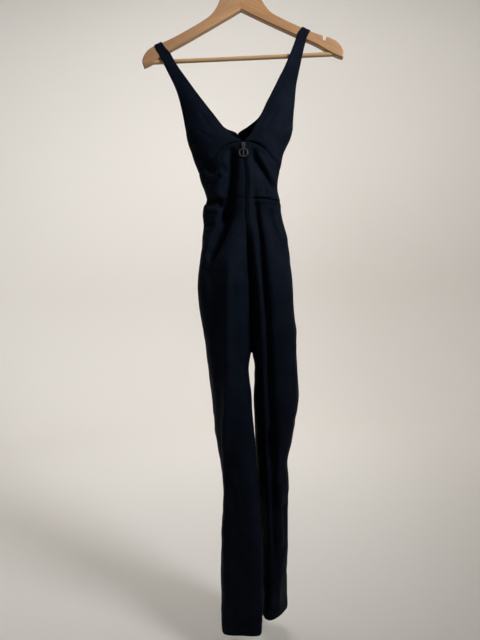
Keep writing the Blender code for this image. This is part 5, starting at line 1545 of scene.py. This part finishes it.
# ------------------------------------------------------------ stage, light, camera
def make_stage():
    """A plain pale floor that turns up, far off and all round, into a plain pale wall."""
    profile = [(0.0, FLOOR_Z), (STAGE_FLOOR_R, FLOOR_Z)]
    profile += arc((STAGE_FLOOR_R, FLOOR_Z + STAGE_ROUND), STAGE_ROUND, -90, 0, 17)[1:]
    profile.append((STAGE_FLOOR_R + STAGE_ROUND, STAGE_TOP_Z))
    shape = bmesh.new()
    line = [shape.verts.new((r, 0.0, z)) for r, z in profile]
    edges = [shape.edges.new(pair) for pair in zip(line[:-1], line[1:])]
    bmesh.ops.spin(shape, geom=line + edges, cent=(0, 0, 0), axis=(0, 0, 1), angle=2 * math.pi, steps=96,
                   use_merge=True)
    bmesh.ops.remove_doubles(shape, verts=shape.verts, dist=0.0001)
    stage = linked("stage_floor", mesh_of("stage_floor", shape))
    stage.data.materials.append(stage_finish())


def make_lights():
    scene = bpy.context.scene
    scene.view_settings.view_transform = "Standard"
    world = bpy.data.worlds.new("soft_studio")
    world.use_nodes = True
    background = world.node_tree.nodes["Background"]
    background.inputs["Color"].default_value = (*WORLD_COLOUR, 1.0)
    background.inputs["Strength"].default_value = WORLD_STRENGTH
    scene.world = world
    for name, (place, aim, size, spread, power, colour) in LIGHTS.items():
        light = bpy.data.lights.new(name, "AREA")
        light.shape = "DISK"
        light.size = size
        light.spread = math.radians(spread)
        light.energy = power
        light.color = colour
        lamp = linked(name, light)
        lamp.location = place
        lamp.rotation_euler = (Vector(aim) - Vector(place)).to_track_quat("-Z", "Y").to_euler()
        lamp.visible_camera = False


def make_camera():
    camera = bpy.data.cameras.new("camera")
    camera.sensor_width = 36.0
    camera.lens = CAMERA_LENS
    seen = linked("camera", camera)
    seen.matrix_world = upright(CAMERA_PLACE) @ Matrix.Rotation(-CAMERA_ROLL, 4, "Z")
    bpy.context.scene.camera = seen


# ------------------------------------------------------------------------- build
make_camera()
MATERIALS = {
    "knit": knit_finish(),
    "thread": thread_finish(),
    "tape": tape_finish(),
    "coil": coil_finish(),
    "gunmetal": metal_finish("gunmetal", smoothest=0.24, roughest=0.44, scale=160.0),
    "nickel": metal_finish("nickel", smoothest=0.14, roughest=0.32, scale=90.0),
    "beech_l": beech_finish("beech_l", "beech_left", ARM_SLOPE),
    "beech_r": beech_finish("beech_r", "beech_right", -ARM_SLOPE),
    "beech_joint": beech_finish("beech_joint", "beech_joint", 0.0),
    "beech_bar": beech_finish("beech_bar", "beech_bar", 0.0),
}
cloth = {(half, face): Surface(half, face) for half in "lr" for face in ("front", "back")}
sewn = {}
for half in "lr":
    for face in ("front", "back"):
        sewn[f"pants_{face}_{half}"] = leg_panel(cloth, half, face)
        name = "bust_front_" if face == "front" else "back_upper_"
        sewn[name + half] = upper(cloth, half, face)
    sewn["midriff_front_" + half] = midriff_front(cloth, half)
sewn["midriff_back"] = midriff_back(cloth)
sew_all(sewn)
bind_seams(sewn)
zip_tape(cloth)
zip_coil(cloth)
zip_slider()
zip_pull()
for half in "lr":
    wood_arm(half)
wood_joint()
wood_bar()
wire_hook()
make_stage()
make_lights()
